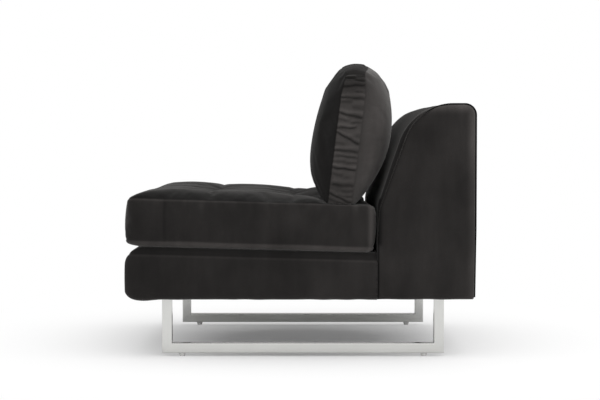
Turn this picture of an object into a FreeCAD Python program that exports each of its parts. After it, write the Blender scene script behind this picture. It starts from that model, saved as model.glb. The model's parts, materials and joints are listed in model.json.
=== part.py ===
import FreeCAD
import Part
import math
import os

vec = FreeCAD.Vector
x_axis = vec(1, 0, 0)

# Armless one-seat sofa. Millimetres, +Z up, the front faces -Y, the floor is z = 0.

# Whole sofa
width = 800.0
depth = 870.0
cloth = 3.0
air = 0.3
far = 2000.0
trim_overlap = 1.0

# Seat box
hem_height = 152.0
deck_height = 281.0
seat_pitch = 1.5
box_front_top_radius = 35.0
box_front_bottom_radius = 30.0
box_corner_radius = 25.0
box_side_top_radius = 20.0
box_side_bottom_radius = 12.0
deck_seam_drop = 20.0
deck_padding = 18.0
felt = 4.0

# Back block
back_depth = 243.0
back_height = 635.0
back_bend_height = 385.0
back_lean = 19.3
back_bend_radius = 60.0
back_roll_radius = 130.0
back_rear_top_radius = 14.0
back_taper = 6.0
back_taper_height = 323.0
back_taper_radius = 300.0
back_padding_front = 31.0
back_cover_foot = 245.0
rear_cover_strip = 14.0
side_panel = 6.0
welt_radius = 2.5

# Wooden frame
frame_foot = 160.0
rail_thickness = 24.0
side_padding = 24.0
front_padding = 30.0
rear_padding = 26.0
rear_board = 4.0
leg_board = 18.0
leg_board_width = 62.0
cross_rail_setback = 18.0
side_frame_ply = 18.0
back_rail_depth = 24.0
corner_block = 50.0
corner_block_height = 48.0
dust_cloth = 1.5

# Back rails, heights and places along the sloped front
front_rail_drop = 25.0
front_rail_height = 60.0
mid_rail_start = 10.0
mid_rail_height = 40.0
top_rail_gap = 3.0
top_rail_height = 42.0
crown_rail_depth = 40.0
crown_rail_height = 35.0
webbing = 1.5
webbing_width = 60.0
webbing_count = 4
webbing_pitch = 150.0

# Seat springs
spring_wire = 4.0
spring_count = 5
spring_pitch = 140.0
spring_half_width = 24.0
spring_bends = 18
clip_wall = 1.2
clip_width = 18.0
clip_length = 14.0
clip_bore_clearance = 0.2

# Sled legs
tube = 25.0
tube_wall = 2.0
tube_corner = 2.0
sled_front_setback = 86.0
sled_rear_setback = 73.0
sled_side_inset = 53.0
plate = 5.0
plate_width = 50.0
plate_outer_margin = 3.0
screw_line_inset = 11.0
front_screws = 4
screw_front_distance = 50.0
screw_rail_gap = 49.0
screw_rear_distance = 81.0
screw_radius = 3.0
screw_head_radius = 5.5
screw_head = 3.0
screw_clearance = 0.1
tee_flange_radius = 9.5
tee_flange = 1.5
tee_barrel_radius = 4.2
tee_barrel = 10.0

# Glides
glide_height = 9.0
glide_top_radius = 9.0
glide_bottom_radius = 6.0
glide_end_distance = 50.0
glide_stem_radius = 4.0
glide_stem_depth = 5.0
glide_stem_length = 21.0
glide_clearance = 0.08
insert_radius = 7.0
insert_height = 10.0

# Back bolts
bolt_radius = 4.0
bolt_head_radius = 10.0
bolt_head = 4.0
bolt_clearance = 0.1
bolt_tail = 8.0
bolt_nut = 6.5
bolt_nut_radius = 7.5
bolt_height = 205.0
bolt_places = (58.0, 123.0)

# Seat cushion
cushion_front_setback = 3.0
cushion_rear_gap = 8.0
cushion_side_inset = 3.0
cushion_bottom_seam = 12.0
cushion_border = 118.0
cushion_corner_radius = 20.0
cushion_bottom_radius = 14.0
cushion_draw_in = 3.0
border_crown = 6.0
valley_crown = 12.0
outer_crest = 22.0
inner_crest = 25.0
cells_across = 4
cells_deep = 3
tuft_radius = 30.0
tuft_dip = 11.0
tie_radius = 1.0
tie_clearance = 0.2

# Back cushion
pillow_side_inset = 15.0
pillow_band = 60.0
pillow_height = 328.0
pillow_top_crown = 20.0
pillow_lean = 7.0
pillow_foot_setback = 94.0
pillow_foot_height = 389.0
pillow_front_crown = 60.0
pillow_rear_crown = 92.0
pillow_front_crest = 70.0
pillow_front_shoulder = 150.0
pillow_rear_crest = 100.0
pillow_rear_shoulder = 195.0
pillow_end_slope = 85.0
pillow_end_shoulder = 230.0
pillow_shoulder_share = 0.85
pillow_crest_radius = 70.0
pillow_corner_radius = 24.0
pillow_top_straight = 74.0
pillow_draw_in = 4.0
pillow_swell_low = 5.0
pillow_swell_high = 9.0
pillow_clearance = 0.5

# Places worked out from the sizes above
half_width = width / 2
front_y = -depth / 2
rear_y = depth / 2
back_y = rear_y - back_depth
frame_half = half_width - side_padding
frame_front = front_y + front_padding
frame_rear = rear_y - rear_padding - rear_board
rail_half = frame_half - rail_thickness
ply_half = rail_half - side_frame_ply
board_top = frame_foot + leg_board
cross_rail_rear = back_y - cross_rail_setback
slope_length = (back_height - back_bend_height) / math.cos(math.radians(back_lean))
roll_reach = back_roll_radius / math.tan(math.radians((90 + back_lean) / 2))
top_rail_end = slope_length - roll_reach - top_rail_gap
top_rail_start = top_rail_end - top_rail_height
panel_half = half_width - side_panel
spring_depth = cloth + air + deck_padding + air + felt + air + spring_wire / 2
rail_top_depth = spring_depth + spring_wire / 2 + clip_wall
back_frame_inset = cloth + air + back_padding_front + air + webbing
sled_outer = half_width - sled_side_inset
sled_centre = sled_outer - tube / 2
sled_front = front_y + sled_front_setback
sled_rear = rear_y - sled_rear_setback
plate_foot = frame_foot - plate
plate_outer = sled_outer + plate_outer_margin
plate_inner = plate_outer - plate_width
screw_x = plate_inner + screw_line_inset
cushion_front = front_y + cushion_front_setback
cushion_rear = back_y - cushion_rear_gap
cushion_half = half_width - cushion_side_inset
cushion_foot = deck_height + air
side_signs = {"left": 1, "right": -1}


def side_plane(x):
    return lambda y, z: vec(x, y, z)


def plan_plane(z):
    return lambda x, y: vec(x, y, z)


def front_plane(y):
    return lambda x, z: vec(x, y, z)


def block(x0, x1, y0, y1, z0, z1):
    return Part.makeBox(x1 - x0, y1 - y0, z1 - z0, vec(x0, y0, z0))


def mirrored(shape, sign):
    # The left piece as made, or its mirror image on the right
    if sign > 0:
        return shape
    return shape.mirror(vec(0, 0, 0), x_axis)


def meeting_point(first, second):
    # Where two lines, each (x, y, along x, along y), cross
    cross = first[2] * second[3] - first[3] * second[2]
    gap_x = second[0] - first[0]
    gap_y = second[1] - first[1]
    travel = (gap_x * second[3] - gap_y * second[2]) / cross
    return (first[0] + first[2] * travel, first[1] + first[3] * travel)


def inset_corners(corners, insets):
    # A convex anticlockwise outline with each side moved inward by its own inset
    lines = []
    for index, start in enumerate(corners):
        end = corners[(index + 1) % len(corners)]
        length = math.dist(start, end)
        along = ((end[0] - start[0]) / length, (end[1] - start[1]) / length)
        moved_x = start[0] - along[1] * insets[index]
        moved_y = start[1] + along[0] * insets[index]
        lines.append((moved_x, moved_y, along[0], along[1]))
    return [meeting_point(lines[index - 1], lines[index]) for index in range(len(lines))]


def corner_arc(before, here, after, radius):
    # Start, middle and end of the arc that rounds one corner
    to_before = vec(before[0] - here[0], before[1] - here[1], 0).normalize()
    to_after = vec(after[0] - here[0], after[1] - here[1], 0).normalize()
    half_angle = to_before.getAngle(to_after) / 2
    corner = vec(here[0], here[1], 0)
    reach = radius / math.tan(half_angle)
    inward = (to_before + to_after).normalize()
    centre = corner + inward * (radius / math.sin(half_angle))
    return corner + to_before * reach, centre - inward * radius, corner + to_after * reach


def outline_edges(corners, radii, place, bows=None):
    # Sides joined by round corners, each straight or bowed inward, or outward where its bow is negative
    arcs = []
    for index, here in enumerate(corners):
        before = corners[index - 1]
        after = corners[(index + 1) % len(corners)]
        arcs.append(corner_arc(before, here, after, radii[index]))
    edges = []
    for index, arc in enumerate(arcs):
        if radii[index] > 0:
            edges.append(Part.Arc(*[place(p.x, p.y) for p in arc]).toShape())
        start = arc[2]
        end = arcs[(index + 1) % len(arcs)][0]
        bow = bows[index] if bows else 0
        if bow:
            along = (end - start).normalize()
            middle = (start + end) * 0.5 + vec(-along.y, along.x, 0) * bow
            points = [place(p.x, p.y) for p in (start, middle, end)]
            edges.append(Part.Arc(*points).toShape())
        else:
            edges.append(Part.makeLine(place(start.x, start.y), place(end.x, end.y)))
    return edges


def prism(edges, direction):
    return Part.Face(Part.Wire(edges)).extrude(direction)


def shrunk(radii, inset):
    # Corner radii of an outline moved inward
    return [max(radius - inset, 0) for radius in radii]


def pitched(shape):
    # The seat tips back about the front edge of its deck
    turned = shape.copy()
    turned.rotate(vec(0, front_y, deck_height), x_axis, -seat_pitch)
    return turned


def below_deck(depth_below, x_half, y0, y1, thickness):
    # A flat layer, parallel to the deck, whose top lies depth_below under it
    top = deck_height - depth_below
    return pitched(block(-x_half, x_half, y0, y1, top - thickness, top))


def seat_box_form(inset):
    # Outer form of the seat box, each face moved inward by inset
    rear = back_y - air
    drop = math.tan(math.radians(seat_pitch))
    deck_rear = deck_height - (rear - front_y) * drop
    side = [(front_y, hem_height), (rear, hem_height), (rear, deck_rear), (front_y, deck_height)]
    side_radii = [box_front_bottom_radius, 0, 0, box_front_top_radius]
    side_insets = [inset, 0, inset, inset]
    side_corners = inset_corners(side, side_insets)
    side_edges = outline_edges(side_corners, shrunk(side_radii, inset), side_plane(-half_width))
    form = prism(side_edges, vec(width, 0, 0))
    plan = [(-half_width, front_y), (half_width, front_y), (half_width, rear), (-half_width, rear)]
    plan_radii = [box_corner_radius, box_corner_radius, 0, 0]
    plan_corners = inset_corners(plan, [inset, inset, 0, inset])
    plan_edges = outline_edges(plan_corners, shrunk(plan_radii, inset), plan_plane(0))
    form = form.common(prism(plan_edges, vec(0, 0, far)))
    low = hem_height - deck_height
    top = [(-half_width, low), (half_width, low), (half_width, deck_height), (-half_width, deck_height)]
    top_radii = [0, 0, box_side_top_radius, box_side_top_radius]
    top_corners = inset_corners(top, [inset] * 4)
    top_edges = outline_edges(top_corners, shrunk(top_radii, inset), front_plane(front_y))
    form = form.common(prism(top_edges, vec(0, depth, -depth * drop)))
    foot = [(-half_width, hem_height), (half_width, hem_height), (half_width, far), (-half_width, far)]
    foot_radii = [box_side_bottom_radius, box_side_bottom_radius, 0, 0]
    foot_corners = inset_corners(foot, [inset] * 4)
    foot_edges = outline_edges(foot_corners, shrunk(foot_radii, inset), front_plane(front_y))
    return form.common(prism(foot_edges, vec(0, depth, 0)))


def back_corners(insets):
    # Side view of the back: underside, tapered rear, rear, top, sloped front, upright front
    slope = math.tan(math.radians(back_lean))
    roll_y = back_y + (back_height - back_bend_height) * slope
    corners = [
        (back_y, hem_height),
        (rear_y - back_taper, hem_height),
        (rear_y, back_taper_height),
        (rear_y, back_height),
        (roll_y, back_height),
        (back_y, back_bend_height),
    ]
    return inset_corners(corners, insets)


def back_radii(inset):
    radii = [0, 0, back_taper_radius, back_rear_top_radius, back_roll_radius, back_bend_radius]
    return shrunk(radii, inset)


def back_form(inset, x_half):
    edges = outline_edges(back_corners([inset] * 6), back_radii(inset), side_plane(-x_half))
    return prism(edges, vec(2 * x_half, 0, 0))


def scalloped_prism(stations, heights, crests, foot, corner_radius, place, direction):
    # A section with round lower corners and one shallow arch per tufted cell along its top
    start = stations[0]
    end = stations[-1]
    middle_drop = corner_radius * (1 - math.sqrt(0.5))
    right_foot = [
        place(end - corner_radius, foot),
        place(end - middle_drop, foot + middle_drop),
        place(end, foot + corner_radius),
    ]
    left_foot = [
        place(start, foot + corner_radius),
        place(start + middle_drop, foot + middle_drop),
        place(start + corner_radius, foot),
    ]
    edges = [Part.makeLine(left_foot[2], right_foot[0]), Part.Arc(*right_foot).toShape()]
    edges.append(Part.makeLine(right_foot[2], place(end, heights[-1])))
    for cell in reversed(range(len(crests))):
        near = place(stations[cell + 1], heights[cell + 1])
        crest = place((stations[cell] + stations[cell + 1]) / 2, crests[cell])
        edges.append(Part.Arc(near, crest, place(stations[cell], heights[cell])).toShape())
    edges.append(Part.makeLine(place(start, heights[0]), left_foot[0]))
    edges.append(Part.Arc(*left_foot).toShape())
    return prism(edges, direction)


def cell_lines(start, end, cells):
    return [start + (end - start) * index / cells for index in range(cells + 1)]


def seat_crown(cells, inset):
    # Heights over the underside at the cell lines, and at the crest of each cell
    seam = cushion_foot + cushion_border - inset
    heights = [seam + valley_crown] * (cells + 1)
    heights[0] = seam + border_crown
    heights[-1] = seam + border_crown
    crests = [seam + inner_crest] * cells
    crests[0] = seam + outer_crest
    crests[-1] = seam + outer_crest
    return heights, crests


def tuft_points():
    across = cell_lines(-cushion_half, cushion_half, cells_across)[1:-1]
    deep = cell_lines(cushion_front, cushion_rear, cells_deep)[1:-1]
    return [(x, y) for y in deep for x in across]


def seat_cushion_form(inset):
    # Crowned cushion with drawn-in sides, channels between the cells and sewn tufts
    foot = cushion_foot + inset
    foot_radius = cushion_bottom_radius - inset
    deep = cell_lines(cushion_front, cushion_rear, cells_deep)
    deep[0] += inset - trim_overlap
    deep[-1] -= inset - trim_overlap
    heights, crests = seat_crown(cells_deep, inset)
    across_all = vec(2 * half_width, 0, 0)
    plane = side_plane(-half_width)
    form = scalloped_prism(deep, heights, crests, foot, foot_radius, plane, across_all)
    across = cell_lines(-cushion_half, cushion_half, cells_across)
    across[0] += inset - trim_overlap
    across[-1] -= inset - trim_overlap
    heights, crests = seat_crown(cells_across, inset)
    plane = front_plane(front_y)
    deep_all = vec(0, depth, 0)
    form = form.common(scalloped_prism(across, heights, crests, foot, foot_radius, plane, deep_all))
    corners = [
        (-cushion_half, cushion_front),
        (cushion_half, cushion_front),
        (cushion_half, cushion_rear),
        (-cushion_half, cushion_rear),
    ]
    corners = inset_corners(corners, [inset] * 4)
    radii = shrunk([cushion_corner_radius] * 4, inset)
    plan = outline_edges(corners, radii, plan_plane(0), [cushion_draw_in] * 4)
    form = form.common(prism(plan, vec(0, 0, far)))
    dip = cushion_foot + cushion_border + valley_crown - tuft_dip + tuft_radius
    for x, y in tuft_points():
        form = form.cut(Part.makeSphere(tuft_radius + inset, vec(x, y, dip)))
    return form


def pillow_placed(shape):
    # The back cushion leans back and stands on the seat
    placed = shape.copy()
    placed.rotate(vec(0, 0, 0), x_axis, -pillow_lean)
    placed.translate(vec(0, back_y - pillow_foot_setback, pillow_foot_height))
    return placed


def pillow_form(inset):
    # Boxed cushion: crowned front and rear panels, drawn-in ends, pressed by the seat and the back
    band = pillow_band / 2
    front = band + pillow_front_crown
    rear = band + pillow_rear_crown
    top = pillow_height + pillow_top_crown
    end_view = [
        (-band, 0),
        (band, 0),
        (rear, pillow_rear_crest),
        (rear, pillow_rear_shoulder),
        (band, top),
        (-band, top),
        (-front, pillow_front_shoulder),
        (-front, pillow_front_crest),
    ]
    crest = pillow_crest_radius
    end_radii = shrunk([0, 0, crest, crest, 0, 0, crest, crest], inset)
    end_corners = inset_corners(end_view, [inset] * 8)
    low = -pillow_swell_low
    high = -pillow_swell_high
    end_bows = [0, low, 0, high, 0, high, 0, low]
    end_edges = outline_edges(end_corners, end_radii, side_plane(-half_width), end_bows)
    form = prism(end_edges, vec(width, 0, 0))
    end = half_width - pillow_side_inset
    reach = end + trim_overlap
    slope = pillow_end_slope
    shoulder = pillow_end_shoulder
    front_slope = band + pillow_front_crown * pillow_shoulder_share
    rear_slope = band + pillow_rear_crown * pillow_shoulder_share
    top_view = [
        (-reach, -band),
        (slope - end, -front_slope),
        (shoulder - end, -front),
        (end - shoulder, -front),
        (end - slope, -front_slope),
        (reach, -band),
        (reach, band),
        (end - slope, rear_slope),
        (end - shoulder, rear),
        (shoulder - end, rear),
        (slope - end, rear_slope),
        (-reach, band),
    ]
    top_radii = shrunk([0, crest, crest, crest, crest, 0] * 2, inset)
    top_corners = inset_corners(top_view, [inset] * 12)
    top_bows = [low, low, 0, low, low, 0] * 2
    top_edges = outline_edges(top_corners, top_radii, plan_plane(0), top_bows)
    form = form.common(prism(top_edges, vec(0, 0, top)))
    face = [(-end, 0), (end, 0), (end, pillow_height), (0, top), (-end, pillow_height)]
    corner = pillow_corner_radius
    top_half = math.hypot(end, pillow_top_crown)
    top_radius = (top_half - pillow_top_straight) * end / pillow_top_crown
    face_radii = shrunk([corner, corner, corner, top_radius, corner], inset)
    face_corners = inset_corners(face, [inset] * 5)
    face_bows = [0, pillow_draw_in, 0, 0, pillow_draw_in]
    face_edges = outline_edges(face_corners, face_radii, front_plane(-half_width), face_bows)
    form = form.common(prism(face_edges, vec(0, width, 0)))
    form = pillow_placed(form)
    grown = -(pillow_clearance + inset)
    form = form.cut(pitched(seat_cushion_form(grown)))
    return form.cut(back_form(grown, half_width))


def square_tube(corners, plane, run):
    # Square steel tube with round outer edges, open at both ends
    outer = prism(outline_edges(corners, [tube_corner] * 4, plane), run)
    bore = prism(outline_edges(inset_corners(corners, [tube_wall] * 4), [0] * 4, plane), run)
    return outer.cut(bore)


def glide_places():
    return {"front": sled_front + glide_end_distance, "rear": sled_rear - glide_end_distance}


def sled_rail():
    # Bottom rail of the left sled, mitred at both ends, with a hole for each glide stem
    inner = sled_outer - tube
    top = glide_height + tube
    corners = [(inner, glide_height), (sled_outer, glide_height), (sled_outer, top), (inner, top)]
    rail = square_tube(corners, front_plane(sled_front), vec(0, sled_rear - sled_front, 0))
    mitred = [
        (sled_front, glide_height),
        (sled_rear, glide_height),
        (sled_rear - tube, top),
        (sled_front + tube, top),
    ]
    rail = rail.common(prism(outline_edges(mitred, [0] * 4, side_plane(0)), vec(width, 0, 0)))
    for y in glide_places().values():
        foot = vec(sled_centre, y, glide_height - tube_wall)
        rail = rail.cut(Part.makeCylinder(glide_stem_radius + glide_clearance, 3 * tube_wall, foot))
    return rail


def sled_leg(outer_y, inward):
    # One upright, mitred at its foot; inward is +1 for the front leg and -1 for the rear leg
    inner_y = outer_y + inward * tube
    low_y = min(outer_y, inner_y)
    high_y = max(outer_y, inner_y)
    inner = sled_outer - tube
    corners = [(inner, low_y), (sled_outer, low_y), (sled_outer, high_y), (inner, high_y)]
    run = vec(0, 0, plate_foot - glide_height)
    leg = square_tube(corners, plan_plane(glide_height), run)
    mitred = [
        (outer_y, glide_height),
        (inner_y, glide_height + tube),
        (inner_y, plate_foot),
        (outer_y, plate_foot),
    ]
    return leg.common(prism(outline_edges(mitred, [0] * 4, side_plane(0)), vec(width, 0, 0)))


def screw_points():
    # One screw behind the cross rail, and a row from the sled's front to just before that rail
    start = sled_front + screw_front_distance
    end = cross_rail_rear - rail_thickness - screw_rail_gap
    places = cell_lines(start, end, front_screws - 1)
    places.append(sled_rear - screw_rear_distance)
    return [(screw_x, y) for y in places]


def sled_plate():
    shape = block(plate_inner, plate_outer, sled_front, sled_rear, plate_foot, frame_foot)
    for x, y in screw_points():
        shape = shape.cut(Part.makeCylinder(screw_radius + screw_clearance, plate, vec(x, y, plate_foot)))
    return shape


def sled_screw(x, y):
    head = Part.makeCylinder(screw_head_radius, screw_head, vec(x, y, plate_foot - screw_head))
    length = board_top + tee_flange - plate_foot
    return head.fuse(Part.makeCylinder(screw_radius, length, vec(x, y, plate_foot)))


def tee_nut(x, y):
    flange = Part.makeCylinder(tee_flange_radius, tee_flange, vec(x, y, board_top))
    barrel = Part.makeCylinder(tee_barrel_radius, tee_barrel, vec(x, y, board_top - tee_barrel))
    bore = Part.makeCylinder(screw_radius + screw_clearance, far, vec(x, y, 0))
    return flange.fuse(barrel).cut(bore)


def glide_pad(y):
    # Tapered foot with a socket for its stem
    height = glide_height - air
    foot = vec(sled_centre, y, 0)
    pad = Part.makeCone(glide_bottom_radius, glide_top_radius, height, foot)
    socket = vec(sled_centre, y, height - glide_stem_depth)
    return pad.cut(Part.makeCylinder(glide_stem_radius + glide_clearance, glide_stem_depth, socket))


def glide_stem(y):
    foot = vec(sled_centre, y, glide_height - air - glide_stem_depth)
    return Part.makeCylinder(glide_stem_radius, glide_stem_length, foot)


def glide_insert(y):
    foot = vec(sled_centre, y, glide_height + tube_wall)
    ring = Part.makeCylinder(insert_radius, insert_height, foot)
    return ring.cut(Part.makeCylinder(glide_stem_radius + glide_clearance, insert_height, foot))


def under_rail_line(shape):
    # The part of a rail below the pitched line of the rail tops
    top = deck_height - rail_top_depth
    return shape.cut(pitched(block(-width, width, 2 * front_y, 2 * rear_y, top, far)))


def leg_board_left():
    y0 = frame_front + rail_thickness
    y1 = frame_rear - rail_thickness
    shape = block(rail_half - leg_board_width, rail_half, y0, y1, frame_foot, board_top)
    for x, y in screw_points():
        hole = Part.makeCylinder(tee_barrel_radius + screw_clearance, leg_board, vec(x, y, frame_foot))
        shape = shape.cut(hole)
    return shape


def bolt_points():
    return [back_y + place for place in bolt_places]


def bolt_hole(y):
    return Part.makeCylinder(bolt_radius + bolt_clearance, far, vec(0, y, bolt_height), x_axis)


def side_rail_left():
    # Side rail with counterbored holes for the bolts of the back frame
    shape = block(rail_half, frame_half, frame_front, frame_rear, frame_foot, deck_height)
    shape = under_rail_line(shape)
    for y in bolt_points():
        seat = vec(frame_half - bolt_head - air, y, bolt_height)
        shape = shape.cut(bolt_hole(y))
        shape = shape.cut(Part.makeCylinder(bolt_head_radius + bolt_clearance, far, seat, x_axis))
    return shape


def base_front_rail():
    y1 = frame_front + rail_thickness
    return under_rail_line(block(-rail_half, rail_half, frame_front, y1, frame_foot, deck_height))


def base_rear_rail():
    y0 = frame_rear - rail_thickness
    return under_rail_line(block(-ply_half, ply_half, y0, frame_rear, frame_foot, deck_height))


def base_cross_rail():
    y0 = cross_rail_rear - rail_thickness
    return under_rail_line(block(-rail_half, rail_half, y0, cross_rail_rear, board_top, deck_height))


def corner_block_left(corner_x, corner_y, inward):
    # Three-sided glue block; inward points into the frame along Y
    top = board_top + corner_block_height
    points = [
        vec(corner_x, corner_y, board_top),
        vec(corner_x - corner_block, corner_y, board_top),
        vec(corner_x, corner_y + inward * corner_block, board_top),
    ]
    face = Part.Face(Part.makePolygon(points + points[:1]))
    return face.extrude(vec(0, 0, top - board_top))


def corner_blocks():
    front = corner_block_left(rail_half, frame_front + rail_thickness, 1)
    rear = corner_block_left(ply_half, frame_rear - rail_thickness, -1)
    return [mirrored(shape, sign) for shape in (front, rear) for sign in side_signs.values()]


def dust_cover():
    shape = block(-frame_half, frame_half, frame_front, frame_rear, frame_foot - dust_cloth, frame_foot)
    for sign in side_signs.values():
        x0 = plate_inner - air
        x1 = plate_outer + air
        window = block(x0, x1, sled_front - air, sled_rear + air, 0, frame_foot)
        shape = shape.cut(mirrored(window, sign))
    return shape


def spring_ends():
    # The front and rear rails' middles, where the clips hold the end bars
    return frame_front + rail_thickness / 2, cross_rail_rear - rail_thickness / 2


def seat_spring(x):
    # One wire bent to and fro, with half-turn bends, from the front rail to the cross rail
    start, end = spring_ends()
    step = (end - start) / spring_bends
    z = deck_height - spring_depth
    edges = []
    for bend in range(spring_bends + 1):
        y = start + bend * step
        side = 1 if bend % 2 == 0 else -1
        bar_start = vec(x - side * spring_half_width, y, z)
        bar_end = vec(x + side * spring_half_width, y, z)
        edges.append(Part.makeLine(bar_start, bar_end))
        if bend < spring_bends:
            tip = vec(x + side * (spring_half_width + step / 2), y + step / 2, z)
            edges.append(Part.Arc(bar_end, tip, bar_end + vec(0, step, 0)).toShape())
    first = vec(x - spring_half_width, start, z)
    section = Part.Wire([Part.makeCircle(spring_wire / 2, first, x_axis)])
    return pitched(Part.Wire(edges).makePipeShell([section], True, False))


def spring_clip(x, y):
    reach = spring_wire / 2 + clip_wall
    z = deck_height - spring_depth
    x0 = x - clip_width / 2
    x1 = x + clip_width / 2
    shape = block(x0, x1, y - clip_length / 2, y + clip_length / 2, z - reach, z + reach)
    bore_radius = spring_wire / 2 + clip_bore_clearance
    return pitched(shape.cut(Part.makeCylinder(bore_radius, clip_width, vec(x0, y, z), x_axis)))


def row(count, pitch):
    return [(index - (count - 1) / 2) * pitch for index in range(count)]


def spring_felt():
    y0 = frame_front + rail_thickness
    y1 = cross_rail_rear - rail_thickness
    return below_deck(cloth + air + deck_padding + air, rail_half, y0, y1, felt)


def seat_box_padding():
    # Padding over the springs and round the front and sides of the frame
    reach = frame_half + air
    top = deck_height - cloth - air - deck_padding
    hollow = pitched(block(-width, width, 2 * front_y, 2 * rear_y, -far, top))
    hollow = hollow.common(block(-reach, reach, frame_front - air, rear_y, 0, far))
    shape = seat_box_form(cloth + air).cut(hollow)
    return shape.cut(block(-width, width, front_y, rear_y, 0, frame_foot))


def seat_box_cover():
    # Cloth round the seat box, turned under at the hem and open under the frame and at the rear
    shape = seat_box_form(0).cut(seat_box_form(cloth))
    reach = half_width - box_side_bottom_radius
    mouth = block(-reach, reach, front_y + box_front_bottom_radius, rear_y, 0, frame_foot)
    return shape.cut(mouth)


def above_deck_seam():
    return pitched(block(-width, width, 2 * front_y, 2 * rear_y, deck_height - deck_seam_drop, far))


def slope_block(x0, x1, low, high, inset, thickness):
    # A block along the sloped front of the back, low to high up the slope, set in from the cover
    shape = block(x0, x1, inset, inset + thickness, low, high)
    shape.rotate(vec(0, 0, 0), x_axis, -back_lean)
    shape.translate(vec(0, back_y, back_bend_height))
    return shape


def back_side_frame_left():
    rear = rear_padding + rear_board
    front = back_frame_inset
    corners = back_corners([board_top - hem_height, rear, rear, front, front, front])
    edges = outline_edges(corners, back_radii(front), side_plane(ply_half))
    shape = prism(edges, vec(side_frame_ply, 0, 0))
    for y in bolt_points():
        shape = shape.cut(bolt_hole(y))
    return shape


def back_front_rail():
    y0 = back_y + back_frame_inset
    top = back_bend_height - front_rail_drop
    return block(-ply_half, ply_half, y0, y0 + back_rail_depth, top - front_rail_height, top)


def back_crown_rail():
    top = back_height - back_frame_inset
    return block(-ply_half, ply_half, frame_rear - crown_rail_depth, frame_rear, top - crown_rail_height, top)


def back_rear_board():
    top = back_height - back_frame_inset
    return block(-rail_half, rail_half, frame_rear, frame_rear + rear_board, frame_foot, top)


def back_strap(x):
    x0 = x - webbing_width / 2
    inset = back_frame_inset - webbing
    return slope_block(x0, x0 + webbing_width, mid_rail_start, top_rail_end, inset, webbing)


def back_bolt(y):
    start = ply_half - bolt_tail
    head_start = frame_half - bolt_head
    shank = Part.makeCylinder(bolt_radius, head_start - start, vec(start, y, bolt_height), x_axis)
    head = Part.makeCylinder(bolt_head_radius, bolt_head, vec(head_start, y, bolt_height), x_axis)
    return shank.fuse(head)


def back_nut(y):
    start = vec(ply_half - bolt_nut, y, bolt_height)
    corners = []
    for index in range(6):
        angle = math.radians(60 * index)
        corner_y = bolt_nut_radius * math.cos(angle)
        corner_z = bolt_nut_radius * math.sin(angle)
        corners.append(start + vec(0, corner_y, corner_z))
    hexagon = Part.Face(Part.makePolygon(corners + corners[:1])).extrude(vec(bolt_nut, 0, 0))
    return hexagon.cut(bolt_hole(y))


def back_padding():
    # Padding over the front, top, rear and sides of the back frame
    rear = rear_padding - air
    front = cloth + air + back_padding_front
    shape = back_form(cloth + air, panel_half - air)
    corners = back_corners([-far, rear - back_taper, rear, front, front, front])
    reach = rail_half + air
    core = prism(outline_edges(corners, back_radii(front), side_plane(-reach)), vec(2 * reach, 0, 0))
    shape = shape.cut(core)
    reach = frame_half + air
    rails_top = deck_height - rail_top_depth + air
    rails = pitched(block(-reach, reach, 2 * front_y, frame_rear + rear_board + air, -far, rails_top))
    shape = shape.cut(rails)
    shape = shape.cut(block(-reach, reach, back_y, back_y + front, 0, back_cover_foot))
    return shape.cut(block(-width, width, front_y, rear_y, 0, frame_foot))


def back_cover_ring():
    return back_form(0, panel_half).cut(back_form(cloth, width))


def back_front_cover():
    split = rear_y - rear_cover_strip
    return back_cover_ring().common(block(-width, width, front_y, split, back_cover_foot, far))


def back_rear_cover():
    split = rear_y - rear_cover_strip
    return back_cover_ring().common(block(-width, width, split, depth, hem_height + cloth, far))


def back_side_cover_left():
    corners = back_corners([0] + [side_panel] * 5)
    edges = outline_edges(corners, back_radii(side_panel), side_plane(panel_half))
    return prism(edges, vec(side_panel, 0, 0))


def back_welt_left():
    # Piping in the corner between the side panel and the covers it meets
    inset = side_panel / 2
    corners = back_corners([0] + [inset] * 5)
    plane = side_plane(panel_half + inset)
    path = Part.Wire(outline_edges(corners, back_radii(inset), plane)[1:])
    start = plane(*corners[1])
    along = plane(*corners[2]) - start
    section = Part.Wire([Part.makeCircle(welt_radius, start, along)])
    return path.makePipeShell([section], True, False)


def seat_cushion_cover():
    # Top panel, boxing and bottom panel, parted at the two seams
    cover = seat_cushion_form(0).cut(seat_cushion_form(cloth))
    low = cushion_foot + cushion_bottom_seam
    high = cushion_foot + cushion_border
    reach = cushion_half - tuft_radius
    tufts = block(-reach, reach, cushion_front + tuft_radius, cushion_rear - tuft_radius, low, high)
    boxing = block(-width, width, front_y, rear_y, low, high).cut(tufts)
    top = block(-width, width, front_y, rear_y, high, far).fuse(tufts)
    bottom = block(-width, width, front_y, rear_y, 0, low)
    return [pitched(cover.common(part)) for part in (top, boxing, bottom)]


def tie_span():
    low = cushion_foot + cloth + air
    dip = cushion_foot + cushion_border + valley_crown - tuft_dip
    return low, dip - cloth - air


def seat_cushion_ties():
    low, high = tie_span()
    ties = [Part.makeCylinder(tie_radius, high - low, vec(x, y, low)) for x, y in tuft_points()]
    return [pitched(tie) for tie in ties]


def seat_cushion_foam():
    shape = seat_cushion_form(cloth + air)
    for x, y in tuft_points():
        shape = shape.cut(Part.makeCylinder(tie_radius + tie_clearance, far, vec(x, y, 0)))
    return pitched(shape)


def back_cushion_cover():
    # Front panel, rear panel and the boxing between them
    cover = pillow_form(0).cut(pillow_form(cloth))
    band = pillow_band / 2
    front = pillow_placed(block(-width, width, -depth, -band, -far, far))
    rear = pillow_placed(block(-width, width, band, depth, -far, far))
    boxing = pillow_placed(block(-width, width, -band, band, -far, far))
    return [cover.common(part) for part in (front, rear, boxing)]


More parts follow.
